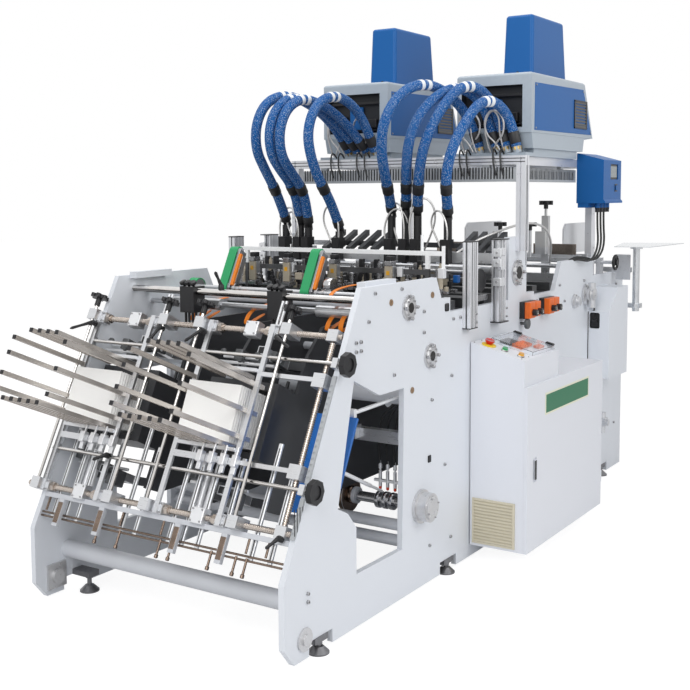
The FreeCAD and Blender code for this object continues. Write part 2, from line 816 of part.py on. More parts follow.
def press_frame(lane):
    left = max(lane - press_offset - press_plate / 2, press_clear - plate_in)
    right = lane + press_offset + press_plate / 2
    centre = lane + tray_offset
    opening = tray_width / 2 + die_gap
    middle = (mandrel_low + mandrel_high) / 2
    die = box(left, right, die_front, press_inset + 20, die_low, die_high)
    die = die.cut(box(centre - opening, centre + opening, die_front - 1, press_inset + 21,
                      die_floor, die_roof))
    mandrel = box(centre - mandrel_half, centre + mandrel_half, mandrel_front,
                  mandrel_front + mandrel_depth, mandrel_low, mandrel_high)
    mandrel = mandrel.makeFillet(mandrel_edge, mandrel.Edges)
    crosshead = box(left, right, crosshead_front, crosshead_front + crosshead_depth,
                    middle - crosshead_half, middle + crosshead_half)
    pieces = [die, mandrel, crosshead]
    for side in sides:
        pieces.append(rod_y(mandrel_front + mandrel_depth - 20, guide_end,
                            centre + side * guide_spread, middle, guide_rod))
    half = guide_tube / 2
    hole = half - guide_tube_wall
    x = lane + guide_tube_x
    for up in guide_tube_ups:
        tube = box(x - half, x + half, guide_tube_front, press_inset, up - half, up + half)
        tube = tube.cut(box(x - hole, x + hole, guide_tube_front - 1, press_inset + 1, up - hole,
                            up + hole))
        pieces.append(tube)
        pieces.append(box(left, right, press_inset, press_inset + 20, up - half, up + half))
    pieces = [on_rack(piece) for piece in pieces]
    pieces.append(press_profile(lane + press_offset))
    if lane - press_offset > -plate_in:
        pieces.append(press_profile(lane - press_offset))
    return fuse(pieces)


# Feed bed, feed shaft and the black ribs that the blanks slide down
bed = [box(-plate_in, plate_in, bed_front, bed_rear, bed_low, bed_low + bed_pan)]
carrier_low = bed_low + bed_pan + bed_beam_height
for y, depth in bed_beams:
    bed.append(box(-plate_in, plate_in, y, y + depth, bed_low + bed_pan, carrier_low))
for lane in lanes:
    for side in sides:
        x = lane + side * carrier_offset
        bed.append(box(x - carrier_width / 2, x + carrier_width / 2, bed_front, carrier_end,
                       carrier_low, carrier_low + carrier_height))
feed = [rod_x(-plate_in, plate_in, feed_shaft_y, feed_shaft_z, feed_shaft)]
for lane in lanes:
    for side in sides:
        x = lane + side * carrier_offset
        feed.append(rod_x(x - feed_wheel_width / 2, x + feed_wheel_width / 2, feed_shaft_y,
                          feed_shaft_z, feed_wheel))
ribs = [box(-plate_in, plate_in, rib_bar_y, rib_bar_y + rib_bar, rib_bar_z, rib_bar_z + rib_bar)]
for x in rib_xs:
    front = rib_bar_y - rib_reach
    low = rib_bar_z + rib_bar - rib_seat - rib_rise * rib_reach / rib_length
    ribs.append(slab_x([(front, low), (front + rib_length, low + rib_rise),
                        (front + rib_length, low + rib_rise + rib_thick),
                        (front, low + rib_thick)],
                       x - rib_width / 2, x + rib_width / 2))
nodes["head_frames"] = Part.makeCompound(
    [fuse(arms), fuse(rollers), fuse(stands), gun_bar, backing, fuse(bed), fuse(feed), fuse(ribs)]
    + fingers + post_rods + [press_frame(lane) for lane in lanes])

# Hoses: each rises from a gun, bends over forwards and comes down on a manifold. A
# route is drawn in Y and Z, and X runs evenly from the first figure to the second.
hose_drawings = [
    (-594, -402, [(1790, 1609), (1712, 1711), (1623, 1804), (1528, 1890), (1439, 1982),
                  (1418, 2107), (1477, 2219), (1594, 2269), (1722, 2264), (1844, 2227),
                  (1957, 2169), (2056, 2089), (2136, 1992)]),
    (-498, -346, [(1790, 1605), (1742, 1721), (1657, 1813), (1551, 1881), (1454, 1961),
                  (1424, 2082), (1474, 2195), (1584, 2254), (1709, 2239), (1829, 2202),
                  (1941, 2146), (2044, 2076), (2136, 1992)]),
    (-445, -290, [(1790, 1595), (1752, 1710), (1672, 1803), (1566, 1874), (1468, 1955),
                  (1438, 2076), (1488, 2189), (1598, 2248), (1722, 2234), (1840, 2198),
                  (1948, 2143), (2048, 2074), (2136, 1992)]),
    (-245, -234, [(1790, 1577), (1715, 1700), (1614, 1803), (1528, 1919), (1486, 2056),
                  (1545, 2186), (1671, 2256), (1815, 2261), (1949, 2208), (2058, 2113),
                  (2136, 1992)]),
    (79, 408, [(1790, 1663), (1705, 1766), (1613, 1862), (1532, 1967), (1500, 2088),
               (1554, 2201), (1659, 2276), (1787, 2298), (1914, 2272), (2025, 2207),
               (2111, 2114), (2136, 1992)]),
    (164, 508, [(1790, 1690), (1739, 1791), (1683, 1889), (1645, 1993), (1658, 2101),
                (1722, 2189), (1813, 2252), (1918, 2286), (2027, 2268), (2110, 2198),
                (2137, 2096), (2136, 1992)]),
    (232, 564, [(1790, 1663), (1734, 1773), (1690, 1886), (1683, 2006), (1725, 2117),
                (1794, 2215), (1890, 2289), (2008, 2289), (2102, 2219), (2135, 2106),
                (2136, 1992)]),
    (405, 620, [(1790, 1655), (1731, 1744), (1686, 1841), (1690, 1947), (1735, 2042),
                (1798, 2125), (1872, 2197), (1974, 2217), (2070, 2179), (2131, 2095),
                (2136, 1992)]),
]
hose_routes = []
for x0, x1, drawing in hose_drawings:
    step = (x1 - x0) / (len(drawing) - 1)
    hose_routes.append([V(x0 + step * i, y, z) for i, (y, z) in enumerate(drawing)])


def cord_path(points):
    edges = []
    radii = []
    start = points[0]
    for before, here, after in zip(points, points[1:], points[2:]):
        a = before - here
        b = after - here
        turn = math.pi - a.getAngle(b)
        run = min(a.Length, b.Length)
        radius = 0.45 * run / math.tan(turn / 2)
        radii.append(radius)
        first = here + V(a).normalize() * 0.45 * run
        last = here + V(b).normalize() * 0.45 * run
        toward = (V(a).normalize() + V(b).normalize()).normalize()
        middle = here + toward * (radius / math.cos(turn / 2) - radius)
        edges.append(Part.LineSegment(start, first).toShape())
        edges.append(Part.Arc(first, middle, last).toShape())
        start = last
    edges.append(Part.LineSegment(start, points[-1]).toShape())
    return Part.Wire(edges), radii


def cord(name, points, dia):
    path, radii = cord_path(points)
    circle = Part.Circle(points[0], points[1] - points[0], dia / 2).toShape()
    tube = path.makePipeShell([Part.Wire([circle])], True, True)
    print(name, "length", round(path.Length), "volume ratio",
          round(tube.Volume / (math.pi * dia ** 2 / 4 * path.Length), 4),
          "radii", [round(radius) for radius in radii])
    return tube


def stub(end, before, dia, reach):
    """A fitting in line with the end of a hose, from the end face onwards."""
    return Part.makeCylinder(dia / 2, reach, end, (end - before).normalize())


for i, route in enumerate(hose_routes):
    name = "hose_%d" % (i + 1)
    nodes[name] = cord(name, route, hose_dia)

# Glue guns: a body against the gun bar, a tower and a neck in line with the hose
guns = []
for route in hose_routes:
    x = route[0].x
    half = gun_width / 2
    tower_top = route[0].z - 26
    cap = box(x - half, x + half, gun_y - 45, gun_y + 22, gun_body_z + gun_body - 44,
              gun_body_z + gun_body)
    body = box(x - half, x + half, gun_y - 45, gun_y + 5, gun_body_z, gun_body_z + gun_body)
    tower = rod_z(gun_body_z + gun_body, tower_top, x, gun_y, stub_dia)
    neck = stub(route[0], route[1], stub_dia, 40)
    nozzle = Part.makeCone(6, 15, 40, V(x, gun_y - 20, gun_body_z - 40), V(0, 0, 1))
    guns.append(fuse([body, cap, tower, neck, nozzle]))
nodes["glue_guns"] = Part.makeCompound(guns)


# Guide posts: slotted extrusions bolted to the outer faces of the plates
def slotted_post(x0, y0, z0, z1, size_x, size_y, outer_side):
    profile = box(x0, x0 + size_x, y0, y0 + size_y, z0, z1)
    for y in (y0, y0 + size_y):
        middle = x0 + size_x / 2
        profile = profile.cut(box(middle - slot_width / 2, middle + slot_width / 2,
                                  y - slot_depth, y + slot_depth, z0 - 1, z1 + 1))
    outer = x0 + size_x if outer_side > 0 else x0
    rows = 2 if size_y > 1.5 * size_x else 1
    for i in range(rows):
        y = y0 + size_y * (i + 0.5) / rows
        profile = profile.cut(box(outer - slot_depth, outer + slot_depth, y - slot_width / 2,
                                  y + slot_width / 2, z0 - 1, z1 + 1))
    return profile


posts = []
post_b_y = gun_y - gun_post_lead
for side in sides:
    x0 = min(side * plate_out, side * (plate_out + post_x))
    posts.append(slotted_post(x0, post_a_y, post_foot_z, post_top_z, post_x, post_y, side))
    post_b = slotted_post(x0, post_b_y, post_foot_z, post_top_z, post_x, post_y, side)
    outer = side * (plate_out + post_x)
    clamps = [box(outer, outer + side * 16, post_b_y - 12, post_b_y + 40, z0, z1)
              for z0, z1 in ((1303, 1340), (1382, 1446), (1450, 1486))]
    posts.append(fuse([post_b] + clamps))
nodes["guide_posts"] = Part.makeCompound(posts)

# Gear cases: raised side pieces on the rail, and the white bars on the humps
case = [(case_front, rail_top), (case_front, case_peak), (case_step_y, case_peak),
        (case_step_y, case_top), (case_rear, case_top), (case_rear, 1234), (case_toe, 1234),
        (case_toe, rail_top)]
cases = []
for side in sides:
    cases.append(slab_x(case, side * plate_in, side * plate_out))
    cases.append(box(side * (plate_in - 42), side * plate_in, 611, 856, hump_top - 14,
                     hump_top + 16))
nodes["gear_cases"] = Part.makeCompound(cases)

# Bridge: four posts and beams that carry the tanks
beam_low = bridge_top - beam_height
bridge = []
for side in sides:
    x0 = min(side * plate_out, side * (plate_out + bridge_post))
    bridge.append(slotted_post(x0, bridge_y, bridge_low, bridge_top, bridge_post, bridge_post,
                               side))
    inner = side * (plate_in - post_x)
    bridge.append(box(inner, side * plate_in, rear_post_y, rear_post_y + 60, rear_post_low,
                      bridge_top))
    bridge.append(box(inner, side * plate_in, bridge_y + beam_depth, rear_post_y, beam_low,
                      bridge_top))
for y in (bridge_y, tank_front + 130, tank_front + 640):
    bridge.append(box(-plate_out if y == bridge_y else -plate_in,
                      plate_out if y == bridge_y else plate_in, y, y + beam_depth, beam_low,
                      bridge_top))
bridge.append(box(-plate_in, plate_in, rear_post_y, rear_post_y + beam_depth, beam_low,
                  bridge_top))
nodes["bridge_frame"] = fuse(bridge)


# Slotted ducts: along the front and near beams of the bridge, and on the plate's edge
def duct(length, height, depth, pitch):
    body = box(0, length, 0, depth, 0, height)
    count = int(length / pitch) - 1
    slots = [box(pitch * (i + 0.8), pitch * (i + 0.8) + pitch * 0.35, -1, 3, height * 0.18,
                 height * 0.82) for i in range(count)]
    return body.cut(Part.makeCompound(slots))


duct_z = beam_low - duct_drop - duct_height
front_duct = duct(plate_in + plate_out, duct_height, duct_depth, duct_slot_pitch)
front_duct.translate(V(-plate_in, bridge_y, duct_z))
tabs = [box(x - 20, x + 20, bridge_y + 5, bridge_y + 30, duct_z + duct_height, beam_low)
        for x in (-500, 0, 500)]
side_length = controller_front - 20 - bridge_y - beam_depth
side_duct = duct(side_length, duct_height, duct_depth, duct_slot_pitch)
side_duct.rotate(V(0, 0, 0), V(0, 0, 1), 90)
side_duct.translate(V(plate_in, bridge_y + beam_depth + 5, duct_z))
side_tabs = [box(plate_in - 30, plate_in - 5, y, y + 30, duct_z + duct_height, beam_low)
             for y in (2200, 2700)]
edge_ducts = []
for low, high in ((166, rack_rod_low - 28), (rack_rod_low + 28, 804)):
    strip = duct(high - low, 18, 10, duct_slot_pitch)
    strip.rotate(V(0, 0, 0), V(0, 1, 0), -90)
    strip.translate(V(plate_out - 3, -10, low))
    edge_ducts.append(on_rack(strip))
nodes["wire_duct"] = Part.makeCompound([fuse([front_duct] + tabs), fuse([side_duct] + side_tabs)]
                                       + edge_ducts)

# Melt tanks: a grey body with a sloping back, a pocket for the hoses and a manifold
tank_base = bridge_top + tank_skirt
tank_top = tank_base + tank_height
tank_sides = (tank_near_side - tank_pitch, tank_near_side)


def tank(x1, routes):
    x0 = x1 - tank_width
    rear = tank_front + tank_length
    body = slab_x([(tank_front, tank_base), (tank_front, tank_top), (rear - tank_rear_slope,
                  tank_top), (rear, tank_base)], x0, x1)
    top_edges = [e for e in body.Edges if e.BoundBox.ZMin > tank_top - 1]
    body = body.makeFillet(16, top_edges)
    body = body.cut(box(x0 + 25, x1 - 52, tank_front - 1, tank_front + 60, tank_base + 28,
                        tank_top - 62))
    skirt = slab_x([(tank_front + 8, tank_base), (tank_front + 30, tank_base - 80),
                    (rear - 150, tank_base - 80), (rear - 130, tank_base - 12),
                    (rear - 12, tank_base)], x0 + 3, x1 - 3)
    foot = box(x0 + 20, x1 - 20, tank_front + 75, tank_front + 75 + foot_length, bridge_top,
               tank_base - 80)
    plate_top = bridge_top + manifold_thick
    manifold = box(x0 + 10, x1 - 8, manifold_front, tank_front + 75, bridge_top, plate_top)
    riser = box(x0 + 60, x1 - 60, tank_front + 36, tank_front + 75, plate_top, tank_base - 80)
    fittings = []
    for route in routes:
        drop = (route[-2] - route[-1]).normalize().z
        fittings.append(stub(route[-1], route[-2], stub_dia,
                             (route[-1].z - plate_top) / drop))
    return fuse([body, skirt, foot, manifold, riser] + fittings)


def hopper(x1):
    centre = x1 - tank_width / 2
    y0 = tank_front + hopper_front
    half = hopper_width / 2
    lower = [V(centre - half, y0, tank_top), V(centre + half, y0, tank_top),
             V(centre + half, y0 + hopper_length, tank_top),
             V(centre - half, y0 + hopper_length, tank_top)]
    upper = [V(p.x * 0.91 + centre * 0.09, p.y + (15 if p.y == y0 else -34),
               tank_top + hopper_height) for p in lower]
    bin_shape = Part.makeLoft([Part.makePolygon(lower + lower[:1]),
                               Part.makePolygon(upper + upper[:1])], True, True)
    rounded = [e for e in bin_shape.Edges if e.BoundBox.ZMax > tank_top + 1]
    return bin_shape.makeFillet(18, rounded)


nodes["tanks"] = Part.makeCompound([tank(x1, hose_routes[4 * i:4 * i + 4])
                                    for i, x1 in enumerate(tank_sides)])
nodes["hoppers"] = Part.makeCompound([hopper(x1) for x1 in tank_sides])

# Control cabinet: a hollow sheet case on two spacers, with a sloping console on top
cabinet_x = plate_out + cabinet_gap
cabinet_top = cabinet_low + cabinet_height
cabinet_rear = cabinet_front + cabinet_width
console_back = cabinet_top + console_rise
console_angle = math.degrees(math.atan2(console_drop, cabinet_depth))
door_x = cabinet_x + cabinet_depth + door_gap
hinge_x = door_x + door_thick / 2
hinge_y = cabinet_rear + hinge_barrel / 2 + 1
case = box(cabinet_x, cabinet_x + cabinet_depth, cabinet_front, cabinet_rear, cabinet_low,
           cabinet_top)
room = box(cabinet_x + sheet, cabinet_x + cabinet_depth + 1, cabinet_front + sheet,
           cabinet_rear - sheet, cabinet_low + sheet, cabinet_top - sheet)
spacers = [box(plate_out, cabinet_x, y, y + 60, cabinet_low + 80, cabinet_top - 80)
           for y in (cabinet_front + 80, cabinet_rear - 140)]
console = slab_y([(cabinet_x, cabinet_top), (cabinet_x + cabinet_depth, cabinet_top),
                  (cabinet_x + cabinet_depth, console_back - console_drop),
                  (cabinet_x, console_back)], cabinet_front, cabinet_front + console_width)
hinges = (cabinet_low + 120, cabinet_top - 160)
fixed = []
leaves = []
for z in hinges:
    fixed.append(box(hinge_x - 24, hinge_x, cabinet_rear, cabinet_rear + hinge_barrel, z, z + 30))
    fixed.append(rod_z(z, z + 30, hinge_x, hinge_y, hinge_barrel))
    fixed.append(rod_z(z + 30, z + 60, hinge_x, hinge_y, hinge_pin))
    leaf = fuse([rod_z(z + 31, z + 60, hinge_x, hinge_y, hinge_barrel),
                 box(hinge_x - 6, hinge_x + 6, cabinet_rear - 4, hinge_y, z + 31, z + 60)])
    leaves.append(leaf.cut(rod_z(z, z + 90, hinge_x, hinge_y, hinge_pin + 2 * fit_gap)))


def on_console(shape):
    """Lay a shape drawn flat (X down the slope, Y along the front) on the console."""
    placed = shape.copy()
    placed.rotate(V(0, 0, 0), V(0, 1, 0), console_angle)
    placed.translate(V(cabinet_x, cabinet_front, console_back))
    return placed


cover_hinge_y = console_width - 7
cover_rear = cover_hinge_y - 10
cover_x = 40
radius = cover_hinge_dia / 2
lid_hinges = []
barrels = []
for x, step in ((cover_x + 10, 1), (cover_x + cover_length - 10, -1)):
    x0, x1 = sorted((x, x + step * 30))
    lid_hinges.append(box(x0, x1, cover_hinge_y - 6, cover_hinge_y + 6, 0, cover_hinge_up))
    lid_hinges.append(rod_x(x0, x1, cover_hinge_y, cover_hinge_up, cover_hinge_dia))
    p0, p1 = sorted((x + step * 30, x + step * 60))
    lid_hinges.append(rod_x(p0, p1, cover_hinge_y, cover_hinge_up, radius))
    b0, b1 = sorted((x + step * 32, x + step * 60))
    web = box(b0, b1, cover_rear - 3, cover_hinge_y, cover_hinge_up - 4, cover_hinge_up + 4)
    barrel = fuse([rod_x(b0, b1, cover_hinge_y, cover_hinge_up, cover_hinge_dia), web])
    barrels.append(barrel.cut(rod_x(b0 - 5, b1 + 5, cover_hinge_y, cover_hinge_up,
                                    radius + 2 * fit_gap)))
nodes["cabinet_case"] = fuse([case.cut(room), console] + spacers + fixed
                             + [on_console(piece) for piece in lid_hinges])

door = box(door_x, door_x + door_thick, cabinet_front, cabinet_rear, cabinet_low, cabinet_top)
pocket = box(door_x + door_thick - 5, door_x + door_thick + 1, cabinet_front + 72,
             cabinet_front + 112, 400, 516)
handle = box(door_x + door_thick - 5, door_x + door_thick + 6, cabinet_front + 84,
             cabinet_front + 100, 410, 506)
nodes["cabinet_door"] = fuse([door.cut(pocket), handle] + leaves)

lid = box(cover_x, cover_x + cover_length, cover_rear - cover_width, cover_rear, 0.5,
          cover_height)
lid = lid.cut(box(cover_x + 3, cover_x + cover_length - 3, cover_rear - cover_width + 3,
                  cover_rear - 3, -1, cover_height - 3))
nodes["console_cover"] = on_console(fuse([lid] + barrels))

# Vent grilles: slatted frames on the cabinet's front face and on the tanks' near faces
def grille(width, height, depth, slats):
    frame = box(0, width, 0, depth, 0, height)
    frame = frame.cut(box(9, width - 9, -1, depth - 2, 9, height - 9))
    pitch = (height - 18) / slats
    parts = [frame]
    for i in range(slats):
        z = 9 + pitch * i
        slat = slab_x([(0, z + pitch * 0.1), (depth - 1, z + pitch * 0.55),
                       (depth - 1, z + pitch * 0.9), (0, z + pitch * 0.45)], 8, width - 8)
        parts.append(slat)
    return fuse(parts)


cabinet_grille = grille(grille_size, grille_size, 8, grille_slats)
cabinet_grille.translate(V(cabinet_x + 14, cabinet_front - 8, cabinet_low + 15))
grilles = [cabinet_grille]
for x1 in tank_sides:
    vent = grille(179, 139, 6, 7)
    vent.rotate(V(0, 0, 0), V(0, 0, 1), 90)
    vent.translate(V(x1 + 6, tank_front + 595, tank_base + 56))
    grilles.append(vent)
nodes["vent_grilles"] = Part.makeCompound(grilles)


# Switches: two switch boxes on the rail, and the buttons on the console
def switch_box(y):
    base = box(plate_out, plate_out + 28, y, y + 146, 1105, 1192)
    parts = [base]
    for i in range(2):
        start = y + 4 + 71 * i
        front = box(plate_out + 28, plate_out + 60, start, start + 67, 1108 + 4 * i, 1190)
        parts.append(front.makeFillet(5, [e for e in front.Edges
                                          if e.BoundBox.XMin > plate_out + 59]))
        parts.append(rod_x(plate_out + 60, plate_out + 84, start + 34, 1138, 34))
    return fuse(parts)


def button(x, ring, head, height):
    rim = rod_z(0, 6, x, 52, ring)
    stem = rod_z(6, height - 8, x, 52, head * 0.6)
    top = rod_z(height - 8, height, x, 52, head)
    return on_console(fuse([rim, stem, top]))


switches = [switch_box(2079), switch_box(2336)]
switches.append(button(70, 66, 44, 30))
switches.append(button(154, 34, 26, 18))
switches.append(button(238, 34, 26, 18))
nodes["switches"] = Part.makeCompound(switches)

# Controller: a box on a back plate with a sloping top, a bottom lip and cable glands
front = plate_in + controller_depth
top = controller_low + controller_height
case = slab_y([(plate_in, controller_low), (front, controller_low), (front, controller_low + 10),
               (front - 10, controller_low + 22), (front - 10, top - 40), (plate_in + 10, top),
               (plate_in, top)], controller_front, controller_front + controller_length)
screen = box(front - 16, front + 1, controller_front + 118, controller_front + 246, top - 150,
             top - 62)
dial = rod_x(front - 12, front - 4, controller_front + 212, controller_low + 88, 30)
seat = box(plate_in + 6, plate_in + 70, controller_front + 6, controller_front + 190,
           controller_low - 26, controller_low)
glands = [rod_z(controller_low - 26, controller_low, plate_in + 105,
                controller_front + 60 + 52 * i, 30) for i in range(4)]
nodes["controller"] = fuse([case.cut(screen), dial, seat] + glands)

# Guard box at the rear of the near plate
guard_top = guard_low + guard_height
guard = slab_x([(guard_front, guard_low), (guard_front, guard_top - 134),
                (guard_front + 144, guard_top), (guard_front + guard_length, guard_top),
                (guard_front + guard_length, guard_low)], plate_out, plate_out + guard_depth)
hatch = box(plate_out + 8, plate_out + 72, guard_front - 1, guard_front + 14, 950, 1045)
hatch = hatch.makeFillet(14, [e for e in hatch.Edges if abs(e.tangentAt(0).y) > 0.9])
nodes["rear_guard"] = guard.cut(hatch)

# Feed table: a folded sheet on a chrome pole that a bracket clamps to the plate
sheet_top = slab_z([(734, 3335), (942, 3371), (974, 3979), (615, 3864)],
                   table_top - table_thick, table_top)
pole = rod_z(pole_low, table_top - table_thick, pole_x, pole_y, pole_dia)
bracket = box(plate_out, pole_x + 32, pole_y - 26, pole_y + 26, pole_low + 22, pole_low + 50)
clip = rod_z(pole_low + 22, pole_low + 50, pole_x, pole_y, pole_dia + 26)
collar = rod_z(table_top - table_thick - 16, table_top - table_thick, pole_x, pole_y,
               pole_dia + 34)
nodes["feed_table"] = fuse([sheet_top, pole, bracket, clip, collar])

# Feeder: cross beam, screw post, clamp knobs, steel strips and guide plates of the blank
# magazine, and the bearing blocks and shaft of the handwheel
beam_top = feeder_beam_low + feeder_beam_height
half = feeder_post_width / 2
beam = box(-plate_in, plate_in, feeder_post_y - 20, feeder_post_y + 20, feeder_beam_low, beam_top)
upright = box(feeder_post_x - half, feeder_post_x + half, feeder_post_y - 15,
              feeder_post_y + 15, beam_top, feeder_post_top)
slide = box(feeder_post_x - half - 26, feeder_post_x + half - 6, feeder_post_y - 45,
            feeder_post_y - 15, 1400, 1531)
screw = rod_z(feeder_post_top, feeder_seat - fit_gap, feeder_post_x, feeder_post_y, 16)
feeder = [fuse([beam, upright, slide, screw]),
          rod_x(-plate_in, plate_in, feeder_rod_y, feeder_rod_z, feeder_rod)]
bar_low = strip_low - magazine_bar
magazine = [box(-plate_in, plate_in, strip_y, strip_y + magazine_bar, bar_low, strip_low),
            box(-plate_in, plate_in, magazine_front + 10, magazine_front + 10 + magazine_bar,
                bar_low, strip_low),
            box(-plate_in, plate_in, clamp_knob_y - 18, strip_y, bar_low, bar_low + 14)]
for lane in lanes:
    magazine.append(box(lane + strip_ends[0], lane + strip_ends[1], strip_y, strip_y + 8,
                        strip_low - 1, strip_top))
    x = lane + magazine_offset
    outline = [(magazine_front, strip_low - 2), (magazine_front, magazine_top - magazine_chamfer),
               (magazine_front + magazine_chamfer, magazine_top), (magazine_rear, magazine_top),
               (magazine_rear, strip_low - 2)]
    magazine.append(slab_x(outline, x - magazine_thick / 2, x + magazine_thick / 2))
for x in clamp_knob_xs:
    clamp = star(star_dia, feeder_knob_thick, 6, star_neck - 14)
    clamp.translate(V(x, clamp_knob_y, clamp_knob_seat))
    magazine += [clamp, rod_z(bar_low + 14, clamp_knob_seat, x, clamp_knob_y, 20)]
feeder.append(fuse(magazine))
shaft_end = wheel_x - 8 - fit_gap
feeder.append(rod_x(-plate_out, shaft_end, wheel_y, wheel_z, feeder_shaft))
for side in sides:
    stand = box(side * plate_in, side * plate_out, wheel_y - 32, wheel_y + 32, tail_top,
                wheel_z + 26)
    feeder.append(stand.cut(rod_x(-across, across, wheel_y, wheel_z, feeder_shaft + 2 * fit_gap)))
rail = box(plate_in - 45, 790, 3480, 3510, tail_top, tail_top + 30)
backplate = box(700, 790, 3472, 3480, 1215, 1370)
feeder.append(fuse([rail, backplate]))
nodes["feeder_frame"] = Part.makeCompound(feeder)

knob = star(star_dia, feeder_knob_thick, 6, star_neck - 14)
knob.translate(V(feeder_post_x, feeder_post_y, feeder_seat))
nodes["feeder_knob"] = knob

ring_radius = (wheel_dia - wheel_rim) / 2
wheel = Part.makeTorus(ring_radius, wheel_rim / 2, V(wheel_x, wheel_y, wheel_z), V(1, 0, 0))
boss = rod_x(wheel_x - 8, wheel_x + 14, wheel_y, wheel_z, 36)
spokes = []
for i in range(3):
    spoke = box(wheel_x - 5, wheel_x + 5, wheel_y - 6, wheel_y + 6, wheel_z,
                wheel_z + ring_radius)
    spoke.rotate(V(wheel_x, wheel_y, wheel_z), V(1, 0, 0), 120 * i)
    spokes.append(spoke)
nodes["feeder_handwheel"] = fuse([wheel, boss] + spokes)

# Pneumatics: air cylinders on the stand bar, the regulator and valves on the near plate
air = []
for x in cylinder_xs:
    body = box(x - 16, x + 16, stand_y - 38, stand_y - 4, 1320, 1424)
    air.append(fuse([body, rod_z(1296, 1320, x, stand_y - 21, 10),
                     rod_z(1424, 1440, x, stand_y - 21, 14)]))
arm_head = box(arm_end, arm_end + 64, arm_y - 34, arm_y + 16, arm_z + 10, arm_z + arm_height + 14)
air.append(fuse([box(arm_end + 40, plate_in, arm_y, arm_y + arm_width, arm_z, arm_z + arm_height),
                 arm_head]))
valves = [box(valve_xs[0] - 30, plate_in, valve_bar_y, valve_bar_y + 12, valve_bar_z,
              valve_bar_z + 12)]
for x in valve_xs:
    valves.append(rod_z(valve_bar_z - 20, valve_bar_z + 50, x, valve_bar_y + 6, 15))
air.append(fuse(valves))
regulator = fuse([box(plate_out, plate_out + 50, 3262, 3312, 330, 380),
                  rod_z(380, 412, plate_out + 25, 3287, 40),
                  rod_z(288, 330, plate_out + 25, 3287, 38),
                  rod_x(plate_out + 50, plate_out + 64, 3287, 352, 40)])
air.append(regulator)
air.append(fuse([box(plate_out, plate_out + 20, 2822, 2876, 1096, 1160),
                 rod_x(plate_out + 20, plate_out + 40, 2849, 1128, 42)]))
air.append(fuse([box(plate_out, plate_out + 24, 2990, 3064, 1100, 1200),
                 rod_z(1080, 1226, plate_out + 42, 3024, 44),
                 rod_x(plate_out + 20, plate_out + 42, 3024, 1150, 30)]))
nodes["pneumatics"] = Part.makeCompound(air)

# The origin is the middle of the footprint, on the floor
whole = Part.makeCompound(list(nodes.values()))
bounds = whole.optimalBoundingBox(False, False)
shift = V(-(bounds.XMin + bounds.XMax) / 2, -(bounds.YMin + bounds.YMax) / 2, -bounds.ZMin)
print("shift", round(shift.x, 3), round(shift.y, 3), round(shift.z, 3))
for name, shape in nodes.items():
    placed = shape.copy()
    placed.translate(shift)
    print(name, placed.isValid(), len(placed.Solids), round(placed.Volume / 1e6, 3))
    placed.exportStep("parts/" + name + ".step")
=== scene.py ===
import bpy
import math
from mathutils import Matrix, Vector


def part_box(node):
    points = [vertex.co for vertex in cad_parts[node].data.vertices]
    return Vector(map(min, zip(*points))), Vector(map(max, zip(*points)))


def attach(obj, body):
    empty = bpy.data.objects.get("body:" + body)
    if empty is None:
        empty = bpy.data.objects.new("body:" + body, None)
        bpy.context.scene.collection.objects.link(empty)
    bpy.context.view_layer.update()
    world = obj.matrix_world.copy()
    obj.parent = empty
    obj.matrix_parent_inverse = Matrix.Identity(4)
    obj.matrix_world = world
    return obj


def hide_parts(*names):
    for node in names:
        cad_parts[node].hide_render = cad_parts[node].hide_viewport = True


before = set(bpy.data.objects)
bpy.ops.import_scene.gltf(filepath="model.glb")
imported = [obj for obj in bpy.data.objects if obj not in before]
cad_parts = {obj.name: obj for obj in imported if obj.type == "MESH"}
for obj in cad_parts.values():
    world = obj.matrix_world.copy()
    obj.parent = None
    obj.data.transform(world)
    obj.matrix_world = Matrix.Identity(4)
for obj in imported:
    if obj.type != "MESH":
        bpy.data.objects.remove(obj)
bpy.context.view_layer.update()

# Camera: a short tele lens at standing height, ahead and to the right of the machine.
# Places are in millimetres from the front edge of the side plates, at floor level.
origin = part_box("side_plate_near")[0] - Vector((0.645, 0, 0.015))


def at(x, y, z):
    return origin + Vector((x, y, z)) / 1000


bpy.ops.object.camera_add(location=at(2933.7, -3104.2, 1751.0))
camera = bpy.context.object
camera.data.lens = 56.87
camera.data.sensor_width = 36
camera.data.shift_x = 0.0113
camera.data.shift_y = -0.0808
camera.data.clip_end = 100
camera.rotation_mode = "QUATERNION"
camera.rotation_quaternion = (Matrix.Rotation(math.radians(33.13), 3, "Z")
                              @ Matrix.Rotation(math.radians(85.0), 3, "X")
                              @ Matrix.Rotation(math.radians(-0.3), 3, "Z")).to_quaternion()
bpy.context.scene.camera = camera


# Hoses: eight heated hoses in a blue woven sleeve carry melted glue from the tanks to the
# guns. Each rises from a gun, bends over forwards and comes down on a tank's manifold.
def feed(tree, target, inputs):
    """Set a shader node's inputs, each to a value or to another node's output."""
    for key, value in inputs.items():
        if isinstance(value, bpy.types.NodeSocket):
            tree.links.new(value, target.inputs[key])
        else:
            target.inputs[key].default_value = value


def node(tree, kind, inputs, **settings):
    """Add a shader node and give back its outputs."""
    made = tree.nodes.new("ShaderNode" + kind)
    for key, value in settings.items():
        setattr(made, key, value)
    feed(tree, made, inputs)
    return made.outputs


def mix(tree, share, first, second, **settings):
    """Mix two colours and give back the outcome."""
    return node(tree, "Mix", {0: share, 6: first, 7: second}, data_type="RGBA", **settings)[2]


